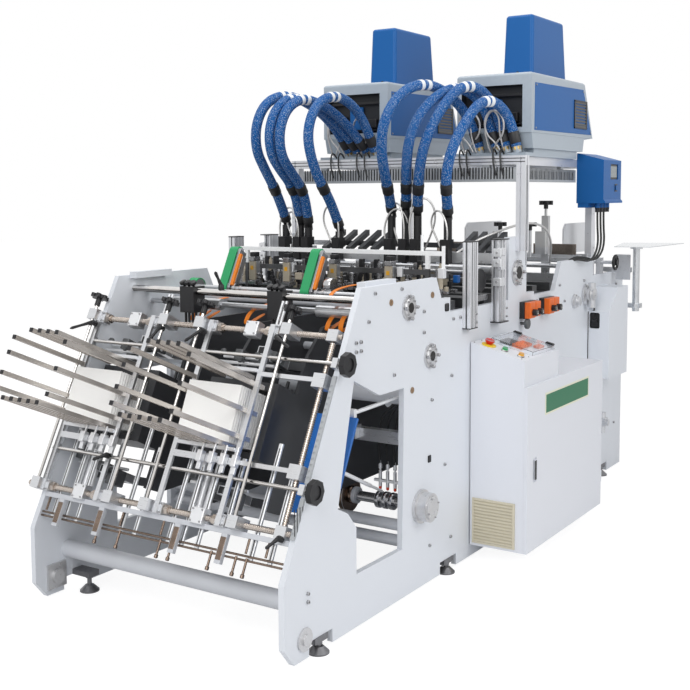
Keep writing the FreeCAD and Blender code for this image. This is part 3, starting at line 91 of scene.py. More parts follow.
def finish(name, colour, rough, metal=0.0, grain=40.0, stretch=(1, 1, 1), vary=0.08,
           bump=0.04, shine=0.5):
    """A finish with a fine grain in its colour, its gloss and its surface."""
    material = bpy.data.materials.new(name)
    material.use_nodes = True
    tree = material.node_tree
    spot = node(tree, "TexCoord", {})["Object"]
    spot = node(tree, "Mapping", {"Vector": spot, "Scale": stretch})["Vector"]
    noise = node(tree, "TexNoise", {"Vector": spot, "Scale": grain, "Detail": 6})["Fac"]
    dark, light = ([min(1, c * shade) for c in colour] + [1] for shade in (1 - vary, 1 + vary))
    tone = mix(tree, noise, dark, light)
    gloss = node(tree, "MapRange", {"Value": noise, "To Min": max(0.03, rough - 0.08),
                                    "To Max": min(1, rough + 0.08)})["Result"]
    relief = node(tree, "Bump", {"Height": noise, "Strength": bump, "Distance": 0.001})["Normal"]
    feed(tree, tree.nodes["Principled BSDF"],
         {"Base Color": tone, "Roughness": gloss, "Normal": relief, "Metallic": metal,
          "Specular IOR Level": shine})
    return material


def coat(piece, material):
    piece.data.materials.clear()
    piece.data.materials.append(material)


def fit(name, pieces, material, body="frame"):
    """Join pieces under one name, give them a finish and fix them to a body of the machine."""
    piece = pieces[0]
    if len(pieces) > 1:
        bpy.ops.object.select_all(action="DESELECT")
        for other in pieces:
            other.select_set(True)
        bpy.context.view_layer.objects.active = piece
        bpy.ops.object.join()
    piece.name = name
    coat(piece, material)
    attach(piece, body)
    return piece


def place(piece, point, along=(0, 0, 1)):
    """Set a piece that stands on its own axis at a point, along a direction."""
    turn = Vector(along).to_track_quat("Z", "Y").to_matrix().to_4x4()
    piece.data.transform(Matrix.Translation(point) @ turn)
    return piece


def mode(name, select=None):
    """Change the mode of the active piece, and select all or none of it."""
    bpy.ops.object.mode_set(mode=name)
    if select:
        bpy.ops.mesh.select_all(action=select)


def bevel(width):
    """Break all edges of the active piece."""
    mode("EDIT", "SELECT")
    bpy.ops.mesh.bevel(offset=width, segments=2, affect="EDGES")
    mode("OBJECT")


def route(name, points, dia, steps, facets):
    """A round cord on one smooth line through its guide points."""
    curve = bpy.data.curves.new(name, "CURVE")
    curve.dimensions = "3D"
    curve.resolution_u = steps
    knot_size = 0.03
    curve.bevel_depth = dia / 2000 / knot_size
    curve.bevel_resolution = facets
    curve.use_fill_caps = True
    spline = curve.splines.new("NURBS")
    spline.points.add(len(points) - 1)
    for knot, point in zip(spline.points, points):
        knot.co = (*at(*point), 1)
        knot.radius = knot_size
    spline.order_u = 3
    spline.use_endpoint_u = True
    cord = bpy.data.objects.new(name, curve)
    bpy.context.collection.objects.link(cord)
    return cord


def line_of(cord):
    """The points that a cord's own smooth line runs through."""
    depth = cord.data.bevel_depth
    cord.data.bevel_depth = 0
    bpy.context.view_layer.update()
    line = bpy.data.meshes.new_from_object(cord)
    cord.data.bevel_depth = depth
    points = [v.co.copy() for v in line.vertices]
    bpy.data.meshes.remove(line)
    return points


sleeve = finish("woven_sleeve", (0.004, 0.092, 0.33), 0.6, grain=70, vary=0.35, bump=0.5,
                shine=0.2)
tree = sleeve.node_tree
weave, spot = tree.nodes["Mix"], tree.nodes["Texture Coordinate"].outputs["Object"]
feed(tree, weave, {6: (0.001, 0.070, 0.30, 1), 7: (0.004, 0.135, 0.42, 1)})
fleck = node(tree, "TexNoise", {"Vector": spot, "Scale": 210, "Detail": 2})["Fac"]
few = node(tree, "MapRange", {"Value": fleck, "From Min": 0.54, "From Max": 0.63,
                              "To Max": 0.95})["Result"]
speckled = mix(tree, few, weave.outputs[2], (0.34, 0.44, 0.60, 1))
braid = node(tree, "TexWave", {"Vector": spot, "Scale": 45, "Distortion": 14, "Detail": 3,
                               "Detail Scale": 2.5},
             wave_type="BANDS", bands_direction="DIAGONAL")["Fac"]
crease = node(tree, "Bump", {"Height": braid, "Strength": 0.55, "Distance": 0.004,
                             "Normal": tree.nodes["Bump"].outputs["Normal"]})["Normal"]
feed(tree, tree.nodes["Principled BSDF"], {"Base Color": speckled, "Normal": crease})

tank_inlet = (2136, 1992)
gun_top = 1.775
hose_drawings = [
    (-594, -402, [(1790, 1609), (1712, 1711), (1623, 1804), (1528, 1890), (1439, 1982),
                  (1418, 2107), (1477, 2219), (1594, 2269), (1722, 2264), (1844, 2227),
                  (1957, 2169), (2056, 2089)]),
    (-498, -346, [(1790, 1605), (1742, 1721), (1657, 1813), (1551, 1881), (1454, 1961),
                  (1424, 2082), (1474, 2195), (1584, 2254), (1709, 2239), (1829, 2202),
                  (1941, 2146), (2044, 2076)]),
    (-445, -290, [(1790, 1595), (1752, 1710), (1672, 1803), (1566, 1874), (1468, 1955),
                  (1438, 2076), (1488, 2189), (1598, 2248), (1722, 2234), (1840, 2198),
                  (1948, 2143), (2048, 2074)]),
    (-245, -234, [(1790, 1577), (1715, 1700), (1614, 1803), (1528, 1919), (1486, 2056),
                  (1545, 2186), (1671, 2256), (1815, 2261), (1949, 2208), (2058, 2113)]),
    (79, 408, [(1790, 1663), (1705, 1766), (1613, 1862), (1532, 1967), (1500, 2088),
               (1554, 2201), (1659, 2276), (1787, 2298), (1914, 2272), (2025, 2207),
               (2111, 2114)]),
    (164, 508, [(1790, 1690), (1739, 1791), (1683, 1889), (1645, 1993), (1658, 2101),
                (1722, 2189), (1813, 2252), (1918, 2286), (2027, 2268), (2110, 2198),
                (2137, 2096)]),
    (232, 564, [(1790, 1663), (1734, 1773), (1690, 1886), (1683, 2006), (1725, 2117),
                (1794, 2215), (1890, 2289), (2008, 2289), (2102, 2219), (2135, 2106)]),
    (405, 620, [(1790, 1655), (1731, 1744), (1686, 1841), (1690, 1947), (1735, 2042),
                (1798, 2125), (1872, 2197), (1974, 2217), (2070, 2179), (2131, 2095)]),
]
hose_dia = 52
black_rubber = finish("black_rubber", (0.018, 0.018, 0.02), 0.5, grain=120, bump=0.15)
white_tie = finish("white_tie", (0.85, 0.87, 0.88), 0.5, grain=200, bump=0.2)
hose_lines = []
for i, (x0, x1, drawing) in enumerate(hose_drawings):
    step = (x1 - x0) / len(drawing)
    points = [(x0 + step * k, y, z) for k, (y, z) in enumerate([*drawing, tank_inlet])]
    hose = route("hose_sleeve_%d" % (i + 1), points, hose_dia, steps=12, facets=10)
    fit(hose.name, [hose], sleeve)
    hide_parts("hose_%d" % (i + 1))
    line = line_of(hose)
    hose_lines.append(line)
    bands = []
    crest = max(range(len(line)), key=lambda n: line[n].z)
    cuff = next(n for n in range(len(line)) if line[n].z > gun_top)
    for k, radius, width, band_finish in ((1, 28.5, 40, black_rubber),
                                          (cuff, 29.5, 58, black_rubber),
                                          (cuff + 1, 30.5, 12, black_rubber),
                                          (crest - 5, 27.6, 24, white_tie),
                                          (crest, 27.6, 26, white_tie),
                                          (len(line) - 4, 29, 60, black_rubber)):
        k = max(1, min(len(line) - 2, k))
        bpy.ops.object.select_all(action="DESELECT")
        bpy.ops.mesh.primitive_cylinder_add(vertices=40, radius=radius / 1000,
                                            depth=width / 1000, end_fill_type="NGON")
        band = bpy.context.object
        bevel(0.002)
        place(band, line[k], line[k + 1] - line[k - 1])
        bpy.ops.object.shade_smooth_by_angle(angle=0.6)
        bands.append(fit("hose_band_%d_%d" % (i + 1, len(bands) + 1), [band], band_finish))


# Floor and studio: a plain pale floor and soft lamps, high on both sides of the camera.
bpy.ops.object.select_all(action="DESELECT")
bpy.ops.mesh.primitive_plane_add(size=60, location=(0, 0, 0))
floor = bpy.context.object
floor.name = "studio_floor"
pale = bpy.data.materials.new("pale_floor")
pale.use_nodes = True
tree = pale.node_tree
matt = tree.nodes["Principled BSDF"]
feed(tree, matt, {"Base Color": (0.9, 0.9, 0.91, 1), "Roughness": 0.9})
glow = node(tree, "Emission", {"Strength": 1.2})[0]
sight = node(tree, "LightPath", {})["Is Camera Ray"]
share = node(tree, "Math", {0: sight, 1: 0.74}, operation="MULTIPLY")[0]
blend = node(tree, "MixShader", {0: share, 1: matt.outputs[0], 2: glow})[0]
feed(tree, tree.nodes["Material Output"], {"Surface": blend})
floor.data.materials.append(pale)
bpy.context.scene.view_settings.view_transform = "Standard"

world = bpy.data.worlds.new("studio")
bpy.context.scene.world = world
world.use_nodes = True
tree = world.node_tree
rays = node(tree, "LightPath", {})
seen = node(tree, "Math", {0: rays["Is Camera Ray"], 1: rays["Is Glossy Ray"]},
            operation="MAXIMUM")[0]
level = node(tree, "MapRange", {"Value": seen, "To Min": 0.45, "To Max": 1.0})["Result"]
feed(tree, tree.nodes["Background"], {"Color": (1, 1, 1, 1), "Strength": level})

for name, spot, aim, power, size in (
        ("key_lamp", (1500, -4200, 4200), (0, 1400, 900), 150, 3.0),
        ("side_lamp", (5200, 1500, 3600), (600, 1700, 900), 84, 3.0),
        ("top_lamp", (-400, 1500, 5600), (0, 1500, 900), 96, 4.0)):
    bpy.ops.object.light_add(type="AREA", location=at(*spot))
    lamp = bpy.context.object
    lamp.name = name
    lamp.data.energy = power
    lamp.data.size = size
    lamp.rotation_euler = (at(*aim) - at(*spot)).to_track_quat("-Z", "Y").to_euler()


# Side plates: two thick steel plates with a white powder coat, cut to the machine's
# outline. Socket screws and turned plugs sit in their faces.
def dress(material, *names):
    """Give parts of the frame their finish."""
    for name in names:
        coat(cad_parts[name], material)


def block(x, y, z, edge=1.0, home=Matrix.Translation(origin)):
    """A rectangular piece between three pairs of sides, with its edges broken."""
    low = Vector((min(x), min(y), min(z))) / 1000
    high = Vector((max(x), max(y), max(z))) / 1000
    bpy.ops.object.select_all(action="DESELECT")
    bpy.ops.mesh.primitive_cube_add(size=1, location=(low + high) / 2, scale=high - low)
    piece = bpy.context.object
    bpy.ops.object.transform_apply(location=True, rotation=True, scale=True)
    bevel(edge / 1000)
    piece.data.transform(home)
    return piece


def extrude(way):
    bpy.ops.mesh.extrude_region_move(TRANSFORM_OT_translate={"value": way})


def turned(steps, sides=32):
    """A round piece on its own axis, from pairs of radius and height, first to last."""
    bpy.ops.object.select_all(action="DESELECT")
    radius, height = steps[0]
    bpy.ops.mesh.primitive_circle_add(vertices=sides, radius=radius / 1000,
                                      fill_type="NGON", location=(0, 0, height / 1000))
    piece = bpy.context.object
    bpy.ops.object.transform_apply(location=True, rotation=True, scale=True)
    mode("EDIT", "SELECT")
    for wide, high in steps[1:]:
        extrude((0, 0, (high - height) / 1000))
        ratio = wide / radius
        bpy.ops.transform.resize(value=(ratio, ratio, 1), center_override=(0, 0, high / 1000))
        radius, height = wide, high
    bpy.ops.mesh.select_all(action="SELECT")
    bpy.ops.mesh.normals_make_consistent(inside=False)
    mode("OBJECT")
    bpy.ops.object.shade_smooth_by_angle(angle=0.6)
    return piece


def copies(master, spots):
    """Copies of a piece, each at a point and along a direction."""
    twins = []
    for point, along in spots:
        twin = master.copy()
        twin.data = master.data.copy()
        bpy.context.collection.objects.link(twin)
        twins.append(place(twin, point, along))
    bpy.data.objects.remove(master)
    return twins


def cap_screws(name, head, spots):
    """Cap screws with a hexagon socket sunk in the head, one at each spot."""
    screw = turned([(head * 0.5, -1), (head * 0.5, head * 0.5), (head * 0.42, head * 0.58)], 20)
    mode("EDIT", "DESELECT")
    mode("OBJECT")
    max(screw.data.polygons, key=lambda face: face.center.z).select = True
    mode("EDIT")
    bpy.ops.mesh.inset(thickness=head * 0.18 / 1000, depth=0)
    extrude((0, 0, -head * 0.3 / 1000))
    mode("OBJECT")
    fit(name, copies(screw, spots), screw_steel)


def both_sides(x, places):
    """Spots at one distance from the machine's middle, facing outwards on both sides."""
    return [(at(side * x, y, z), (side, 0, 0)) for side in (-1, 1) for y, z in places]


def circle(y, z, reach, first, count):
    """Places round a centre on a side face, from a first angle on."""
    turns = [math.radians(first + 360 / count * k) for k in range(count)]
    return [(y + reach * math.cos(turn), z + reach * math.sin(turn)) for turn in turns]


rack_run, rack_rise = 540, 1044
lean = math.atan2(rack_run, rack_rise)
rack_place = Matrix.Translation(origin + Vector((0, 0, 0.335))) @ Matrix.Rotation(-lean, 4, "X")
rack_up = rack_place.to_3x3() @ Vector((0, 0, 1))
rack_out = rack_place.to_3x3() @ Vector((0, -1, 0))


def on_rack(x, inward, up):
    return rack_place @ (Vector((x, inward, up)) / 1000)


def rack_block(x, inward, up, edge=1.0):
    return block(x, inward, up, edge, rack_place)


plate_face = 670
white_coat = finish("white_powder_coat", (0.74, 0.77, 0.82), 0.42, grain=900, vary=0.02, bump=0.1)
dress(white_coat, "side_plate_near", "side_plate_far", "gear_cases", "rear_guard")
screw_steel = finish("screw_steel", (0.42, 0.42, 0.43), 0.28, metal=1.0, grain=80)
cap_screws("plate_screws", 15, both_sides(plate_face, (
    (495, 1130), (531, 1130), (495, 1166), (531, 1166), (1050, 1239), (1050, 1147), (792, 997),
    (2696, 1145), (1316, 920), (1125, 838), (1310, 167), (1106, 181), (150, 262), (150, 230),
    (640, 1350), (856, 1352), (590, 1240), (1330, 1180), (1400, 1180), (1860, 1180),
    (2300, 1180), (2620, 1240), (3000, 1240), (3560, 1180), (3560, 300), (2700, 300),
    (2460, 900), (3000, 500), (1250, 520))))
plug = turned([(14, -1), (14, 3), (11, 4), (7, 3), (6, 1)])
fit("plate_plugs", copies(plug, both_sides(plate_face, ((771, 1302), (1131, 1305), (949, 908)))),
    finish("plug_brass", (0.32, 0.22, 0.14), 0.35, metal=0.9, grain=60))

# Bearing flanges: turned faces on the plates' outsides, each with a dark bore, four studs
# and four screws. Four more screws sit in each lower hub, round the drive shaft's axis.
flange_face = 684
shaft_y, shaft_z = 1022, 382
flanges = ((917.5, 1268, 40, 37.74, 46), (1111.5, 1037, 40, 37.74, 46),
           (2041, 1347, 60, 44.88, 56))
bores, studs, marks = [], [], both_sides(736, circle(shaft_y, shaft_z, 46, 20, 4))
for y, z, bore, screw_reach, stud_reach in flanges:
    inner, outer = bore / 2 - 4, bore / 2 + 2
    bores += copies(turned([(inner, 0.4), (outer, 0.4), (outer, 1.4), (inner, 1.4)], 36),
                    both_sides(flange_face, [(y, z)]))
    marks += both_sides(flange_face, circle(y, z, screw_reach, 45, 4))
    studs += both_sides(flange_face - 1, circle(y, z, stud_reach, 0, 4))
fit("flange_bores", bores, finish("dark_bore", (0.02, 0.018, 0.017), 0.3, metal=0.6, grain=60))
fit("flange_studs", copies(turned([(7, -1), (8, 0), (8, 11), (6, 13), (3, 13.4)], 16), studs),
    screw_steel)
cap_screws("flange_screws", 9, marks)

# Levelling feet: cast steel pads on steel stems.
cast_steel = finish("cast_steel", (0.20, 0.20, 0.21), 0.35, metal=0.85, grain=160, bump=0.2)
dress(cast_steel, "levelling_feet")

# Cross tubes: round steel tubes with grey paint tie the two plates together.
grey_coat = finish("grey_coat", (0.60, 0.62, 0.66), 0.4, metal=0.1, grain=700, vary=0.03)
dress(grey_coat, "cross_tubes")


# Head frames: bars and pulley arms over the deck, the blackened press frames inside, and
# the feed bed behind them. A zone is a colour, roughness and metal between two corners.
def zoned(name, base, zones):
    """One finish for a group of pieces, with its colour set by where each piece stands."""
    material = finish(name, *base, grain=60, vary=0.06)
    tree = material.node_tree
    spot = node(tree, "SeparateXYZ", {0: tree.nodes["Texture Coordinate"].outputs["Object"]})
    paint = tree.nodes["Mix"].outputs[2]
    gloss = tree.nodes["Map Range"].outputs["Result"]
    steel = base[2]
    for colour, rough, metal, low, high in zones:
        inside = None
        for axis in range(3):
            near = node(tree, "Math", {0: spot[axis],
                                       1: (low[axis] + high[axis]) / 2000 + origin[axis],
                                       2: (high[axis] - low[axis]) / 2000},
                        operation="COMPARE")[0]
            if inside:
                near = node(tree, "Math", {0: inside, 1: near}, operation="MULTIPLY")[0]
            inside = near
        paint = mix(tree, inside, paint, (*colour, 1))
        gloss = node(tree, "Mix", {0: inside, 2: gloss, 3: rough})[0]
        steel = node(tree, "Mix", {0: inside, 2: steel, 3: metal})[0]
    feed(tree, tree.nodes["Principled BSDF"],
         {"Base Color": paint, "Roughness": gloss, "Metallic": steel})
    return material


silver = ((0.62, 0.63, 0.65), 0.3, 0.8)
belt_black = ((0.014, 0.014, 0.016), 0.35, 0.0)
press_black = (0.055, 0.057, 0.062)
dress(zoned("head_metal", silver, [
    (press_black, 0.4, 0.3, (-645, 165, 400), (425, 1490, 1188)),
    (press_black, 0.45, 0.2, (-420, 1868, 1428), (606, 2082, 1556)),
    ((0.05, 0.052, 0.055), 0.45, 0.3, (-660, 1325, 1189), (660, 2700, 1290)),
    (*silver, (-430, 150, 480), (-392, 352, 620)),
    (*silver, (220, 150, 480), (258, 352, 620)),
    (*silver, (-430, 440, 1000), (-392, 640, 1150)),
    (*silver, (220, 440, 1000), (258, 640, 1150)),
    ((0.01, 0.13, 0.46), 0.4, 0.0, (426, 330, 400), (650, 620, 920)),
    ((0.95, 0.96, 0.97), 0.4, 0.0, (-650, 1282, 1407), (650, 1304, 1565)),
    ((0.10, 0.10, 0.105), 0.3, 0.7, (-640, 1282, 1238), (640, 1304, 1406)),
    (*belt_black, (-345, 608, 1150), (-255, 694, 1345)),
    (*belt_black, (145, 608, 1150), (235, 694, 1345))]), "head_frames")

# Lead screws: rolled threads of brown bronze that move the rack's lanes.
bronze = finish("rolled_bronze", (0.56, 0.50, 0.45), 0.26, metal=1.0, grain=60, vary=0.2)
low_row, high_row = screw_rows = (185, 965)


def threaded(dia, length, pitch=9):
    """A threaded rod: one ridge of the thread, repeated along the axis."""
    root, crown = dia / 2 - pitch * 0.28, dia / 2
    ridge = turned([(root, 0), (root, pitch * 0.2), (crown, pitch * 0.4), (crown, pitch * 0.75),
                    (root, pitch)], 18)
    repeat = ridge.modifiers.new("thread", "ARRAY")
    repeat.count = int(length / pitch)
    repeat.use_relative_offset = False
    repeat.use_constant_offset = True
    repeat.constant_offset_displace = (0, 0, pitch / 1000)
    bpy.context.view_layer.objects.active = ridge
    bpy.ops.object.modifier_apply(modifier="thread")
    return ridge


screws = fit("threaded_screws", [
    place(threaded(25, 1404), on_rack(-760, 0, low_row), (1, 0, 0)),
    place(threaded(25, 1290), on_rack(-645, 0, high_row), (1, 0, 0)),
    place(threaded(24, 732), on_rack(606, 0, 209), rack_up)], bronze)
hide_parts("lead_screws")

# Chrome rods and spindles, and the square tubes of the cages: polished tube with black plugs in
# the open ends. The chrome has a painted reflection, dark and bright bands by the way each face
# turns, and the cage tubes have painted shade, darker brown on the faces that look down.
chrome = finish("polished_chrome", (0.74, 0.73, 0.72), 0.13, metal=1.0, grain=30, vary=0.12)
tree = chrome.node_tree
# Painted reflection: bands of dark and bright, set by the way each face turns, multiplied into the
# chrome's colour.
facing = node(tree, "VectorMath", {0: tree.nodes["Texture Coordinate"].outputs["Normal"],
                                   1: (0.2, -0.52, 0.83)}, operation="DOT_PRODUCT")["Value"]
ramp = tree.nodes.new("ShaderNodeValToRGB")
feed(tree, ramp, {0: node(tree, "MapRange", {"Value": facing, "From Min": -1})["Result"]})
marks = ramp.color_ramp.elements
marks[0].color = (0.10, 0.10, 0.10, 1)
for spot, value in ((0.36, 0.22), (0.5, 0.85), (0.58, 0.30), (0.68, 0.14), (0.76, 0.95)):
    marks.new(spot).color = (value, value * 0.97, value * 0.94, 1)
painted_reflection = mix(tree, 1, tree.nodes["Mix"].outputs[2], ramp.outputs[0], blend_type="MULTIPLY")
feed(tree, tree.nodes["Principled BSDF"], {"Base Color": painted_reflection})
dress(chrome, "cross_rods")
spindles = fit("spindles", [
    place(turned([(6, 0), (7, 1.5), (7, 842)], 24), on_rack(x, -48, 163), rack_up)
    for x in (-668, -242, -42, 408)], chrome)
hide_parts("lead_screws")
machined = finish("machined_steel", (0.62, 0.62, 0.63), 0.3, metal=0.75, grain=70, vary=0.1)
dress(machined, "bearing_flanges")
nickel = finish("nickel_tube", (0.93, 0.90, 0.86), 0.22, metal=0.62, grain=5, vary=0.06,
                bump=0.01)
# Painted shade: the colour runs from dark brown on faces that look down to the plain nickel on
# faces that look up.
tree = nickel.node_tree
facing = node(tree, "SeparateXYZ", {0: tree.nodes["Texture Coordinate"].outputs["Normal"]})["Z"]
tint = node(tree, "MapRange", {"Value": facing, "From Min": -0.7, "From Max": 0.6})["Result"]
painted_shade = mix(tree, tint, (0.36, 0.31, 0.27, 1), tree.nodes["Mix"].outputs[2])
feed(tree, tree.nodes["Principled BSDF"], {"Base Color": painted_shade})
dress(nickel, "cage_tubes")

droop = math.radians(3.85)
lanes = (-487, 163)


def in_cage(x, y, up):
    """A point in the tilted frame of the cage tubes, drawn along Y."""
    return on_rack(x, y * math.cos(droop), up + y * math.sin(droop))


cage_along = (in_cage(0, 0, 0) - in_cage(0, 100, 0)).normalized()
cap = block((-9.2, 9.2), (-9.2, 9.2), (-3, 1.5), 1.2, Matrix.Identity(4))
tube_ends = [(-160, up) for up in (515, 580, 668, 735)] + [(140, up) for up in (515, 622, 735)]
tube_ends += [(dx, 476) for dx in (-100, -50, 0, 50, 100)]
tube_ends += [(dx, 772) for dx in (-75, -25, 25, 75)]
black_plastic = finish("black_moulding", (0.014, 0.014, 0.016), 0.36, grain=150, bump=0.1,
                       shine=0.35)
fit("cage_caps", copies(cap, [(in_cage(lane + dx, -450, up), cage_along) for lane in lanes
                              for dx, up in tube_ends]), black_plastic)

# Rack uprights: milled aluminium bars and clamp blocks that slide along the screws. The
# posts, the bridge and the feeder are of the same kind of metal.
aluminium = finish("milled_aluminium", (0.66, 0.67, 0.69), 0.3, metal=0.85, grain=25,
                   stretch=(1, 1, 14), vary=0.1)
dress(aluminium, "rack_uprights", "pneumatics")
drawn = finish("drawn_profile", (0.80, 0.81, 0.84), 0.26, metal=0.55, grain=60,
               stretch=(3, 3, 0.05), vary=0.18)
dress(drawn, "guide_posts")
bridge_metal = finish("bridge_profile", (0.74, 0.75, 0.78), 0.3, metal=0.5, grain=18, vary=0.06)
dress(bridge_metal, "bridge_frame")
jet = ((0.012, 0.012, 0.014), 0.35, 0.0)
guide_white = ((0.82, 0.83, 0.85), 0.4, 0.0)
brown_steel = ((0.34, 0.29, 0.25), 0.16, 1.0)
dress(zoned("feeder_metal", silver, [
    ((0.60, 0.60, 0.60), 0.35, 0.3, (470, 2740, 1440), (560, 2860, 1660)),
    (*jet, (100, 2915, 1528), (400, 3015, 1580)),
    (*guide_white, (-156, 3096, 1380), (-144, 3645, 1570)),
    (*guide_white, (494, 3096, 1380), (506, 3645, 1570)),
    (*brown_steel, (-300, 2998, 1388), (-28, 3010, 1452)),
    (*brown_steel, (350, 2998, 1388), (622, 3010, 1452))]), "feeder_frame")

# Nut plates, clamp levers, slotted bars and hangers of the racks.
bright = finish("bright_aluminium", (0.80, 0.81, 0.83), 0.34, metal=0.55, grain=40, vary=0.05)
nut_xs = (-435, 213)
plates = [rack_block((x - 31, x + 31), (-31, -24), (up - 31, up + 31), 2)
          for x in nut_xs for up in screw_rows]
for x in (-286, 330):
    plates += [rack_block((x - 13, x - 5), (-14, -4), (990, 1098)),
               rack_block((x + 5, x + 13), (-14, -4), (990, 1098)),
               rack_block((x - 16, x + 16), (-20, 0), (978, 992))]
for lane in lanes:
    for x in (lane - 12, lane + 46, lane + 104, lane + 162):
        plates += [rack_block((x, x + 24), (-62, -34), (388, 434), 2),
                   rack_block((x + 8, x + 16), (-52, -44), (434, 470), 2),
                   rack_block((x + 2, x + 22), (-48, -36), (360, 388))]
fit("rack_fittings", plates, bright)


def corners(x, inward, up, reach):
    """Spots at the four corners of a square on the rack, facing out of it."""
    return [(on_rack(x + dx, inward, up + dz), rack_out) for dx in (-reach, reach)
            for dz in (-reach, reach)]


spots = []
for up in screw_rows:
    for x in nut_xs:
        spots += corners(x, -31, up, 23)
    for lane in lanes:
        spots += corners(lane - 160, -22, up, 17) + corners(lane + 160, -22, up, 17)
cap_screws("rack_screws", 8, spots)
nut = turned([(14, 0), (21, 1), (21, 22), (15, 23), (15, 30), (12.6, 30)], 6)
fit("screw_nuts", copies(nut, [(on_rack(lane - 135 * turn, 0, up), (turn, 0, 0))
                               for lane in lanes for turn in (1, -1) for up in screw_rows]),
    bronze)


def lever(base, tip):
    """A clamping lever: a hub that stands out from the rack and a tapered handle."""
    start, end = on_rack(*base), on_rack(*tip)
    reach = (end - start).length * 1000
    return [place(turned([(9, 0), (12, 2), (12, 24), (9, 30)], 20), start - rack_out * 0.026,
                  rack_out),
            place(turned([(7, 0), (8.5, 6), (6, reach * 0.5), (7, reach * 0.9), (3, reach)], 16),
                  start, end - start)]


fit("rack_levers", [part for base, tip in (
    ((-648, -62, 923), (-758, -74, 880)), ((-245, -62, 925), (-262, -78, 862)),
    ((-13, -62, 928), (-70, -78, 868)), ((377, -62, 925), (462, -78, 880)),
    ((620, -40, 160), (590, -60, 112)), ((-327, -52, 350), (-372, -70, 318)))
    for part in lever(base, tip)], black_plastic)

dark_bronze = finish("dark_bronze", (0.20, 0.15, 0.12), 0.25, metal=1.0, grain=25, vary=0.3)
hangers = [rack_block((x - 13, x + 13), (-10.5, -8.5), (40, 128)) for x in (-532, -297, 118, 353)]
hangers += [rack_block((x - 4, x + 4), (-4, 4), (84, 141), 1.5)
            for x in (467, 560, 40, -610, -180)]
hangers += copies(turned([(4.2, 0), (4.5, 1), (4.5, 1285), (4.2, 1286)], 16),
                  [(on_rack(-643, 13.3, up), (1, 0, 0)) for up in (61, 77)])
hangers += copies(turned([(4, 0), (5, 1), (5, 60), (8, 62), (8, 74), (4, 76)], 14),
                  [(on_rack(x, 12, 70), rack_up * -1 if x % 200 else rack_up)
                   for x in (-300, -180, 40, 100, 300, 420, 470)])
fit("rack_hangers", hangers, dark_bronze)
for x in (-411, 239):
    for up in (307, 897):
        fit("guide_mouth_%d_%d" % (x + 500, up),
            [rack_block((x - 14, x + 14), (43.2, 44.8), (up - 14, up + 14))],
            black_plastic)

# Inner rams: ribbed grey cylinders that carry the forming heads behind each rack.
iron_grey = finish("iron_grey", (0.11, 0.115, 0.12), 0.45, metal=0.5, grain=60, vary=0.15)
ram = turned([(20, 0), (24, 2), (24, 40), (20, 44), (20, 170), (24, 174), (24, 200), (8, 203),
              (8, 260)], 24)
fit("die_rams", copies(ram, [(at(lane + dx, 668, z), rack_up) for lane in lanes
                             for dx, z in ((-90, 560), (-30, 690), (35, 560), (95, 690))]),
    iron_grey)

# Slides behind the racks: aluminium cylinders, cross bars and cast brackets, and the
# slotted bars in front of them.
slides, casts = [], []
for lane in lanes:
    for dx, up, cut in ((-92, 205, 0), (-56, 217, 30), (-20, 229, 60)):
        slides.append(place(turned([(9, 0), (14, 2), (14, 205 - cut), (9, 208 - cut),
                                    (9, 262 - cut), (5, 270 - cut)], 24),
                            on_rack(lane + dx, 105, up), rack_up))
    slides += copies(turned([(6, 0), (7, 1), (7, 296), (6, 297)], 20),
                     [(on_rack(lane - 149, inward, up), (1, 0, 0))
                      for up, inward in ((838, 62), (872, 96), (330, 120))])
    casts += [rack_block((lane + dx, lane + dx + wide), (60, 132), (up, up + high), 5)
              for dx, up, wide, high in ((-122, 335, 40, 60), (92, 250, 46, 70),
                                         (60, 830, 34, 56), (-70, 850, 40, 50),
                                         (118, 860, 26, 44), (-20, 812, 30, 40),
                                         (20, 300, 36, 40))]
    casts += copies(turned([(5, 0), (5, 16), (13, 18), (15, 24), (13, 32), (5, 34)], 16),
                    [(on_rack(lane + dx, 56, up), rack_out)
                     for dx, up in ((-104, 872), (74, 868), (-8, 846), (110, 300))])
# The slots of the slotted bars are thin black strips of painted shade on their faces.
slot_shades = []
for x, head in ((-596, 470), (-520, 400), (-452, 520), (-330, 440), (-196, 520), (-120, 430),
                (58, 470), (128, 400), (206, 520), (318, 440), (470, 520), (560, 430)):
    slides.append(rack_block((x, x + 18), (17.4, 29), (62, head), 2))
    slot_shades.append(rack_block((x + 7, x + 11), (16.6, 17.6), (82, head - 20), 0.2))
fit("slot_shade_strips", slot_shades, black_plastic)
fit("rack_slides", slides, bright)
fit("rack_casts", casts, iron_grey)

# Trays: blanks of white board, folded and nested in the racks.
board = finish("white_board", (0.93, 0.93, 0.92), 0.7, grain=300, vary=0.03, bump=0.2)
dress(board, "tray_stacks")

# Hand knobs: black moulded stars and octagons, and the glue guns of the same black.
dress(black_plastic, "handwheel_upper", "handwheel_lower", "feeder_knob", "feeder_handwheel",
      "star_knob_1", "star_knob_2", "star_knob_3", "star_knob_4", "glue_guns")

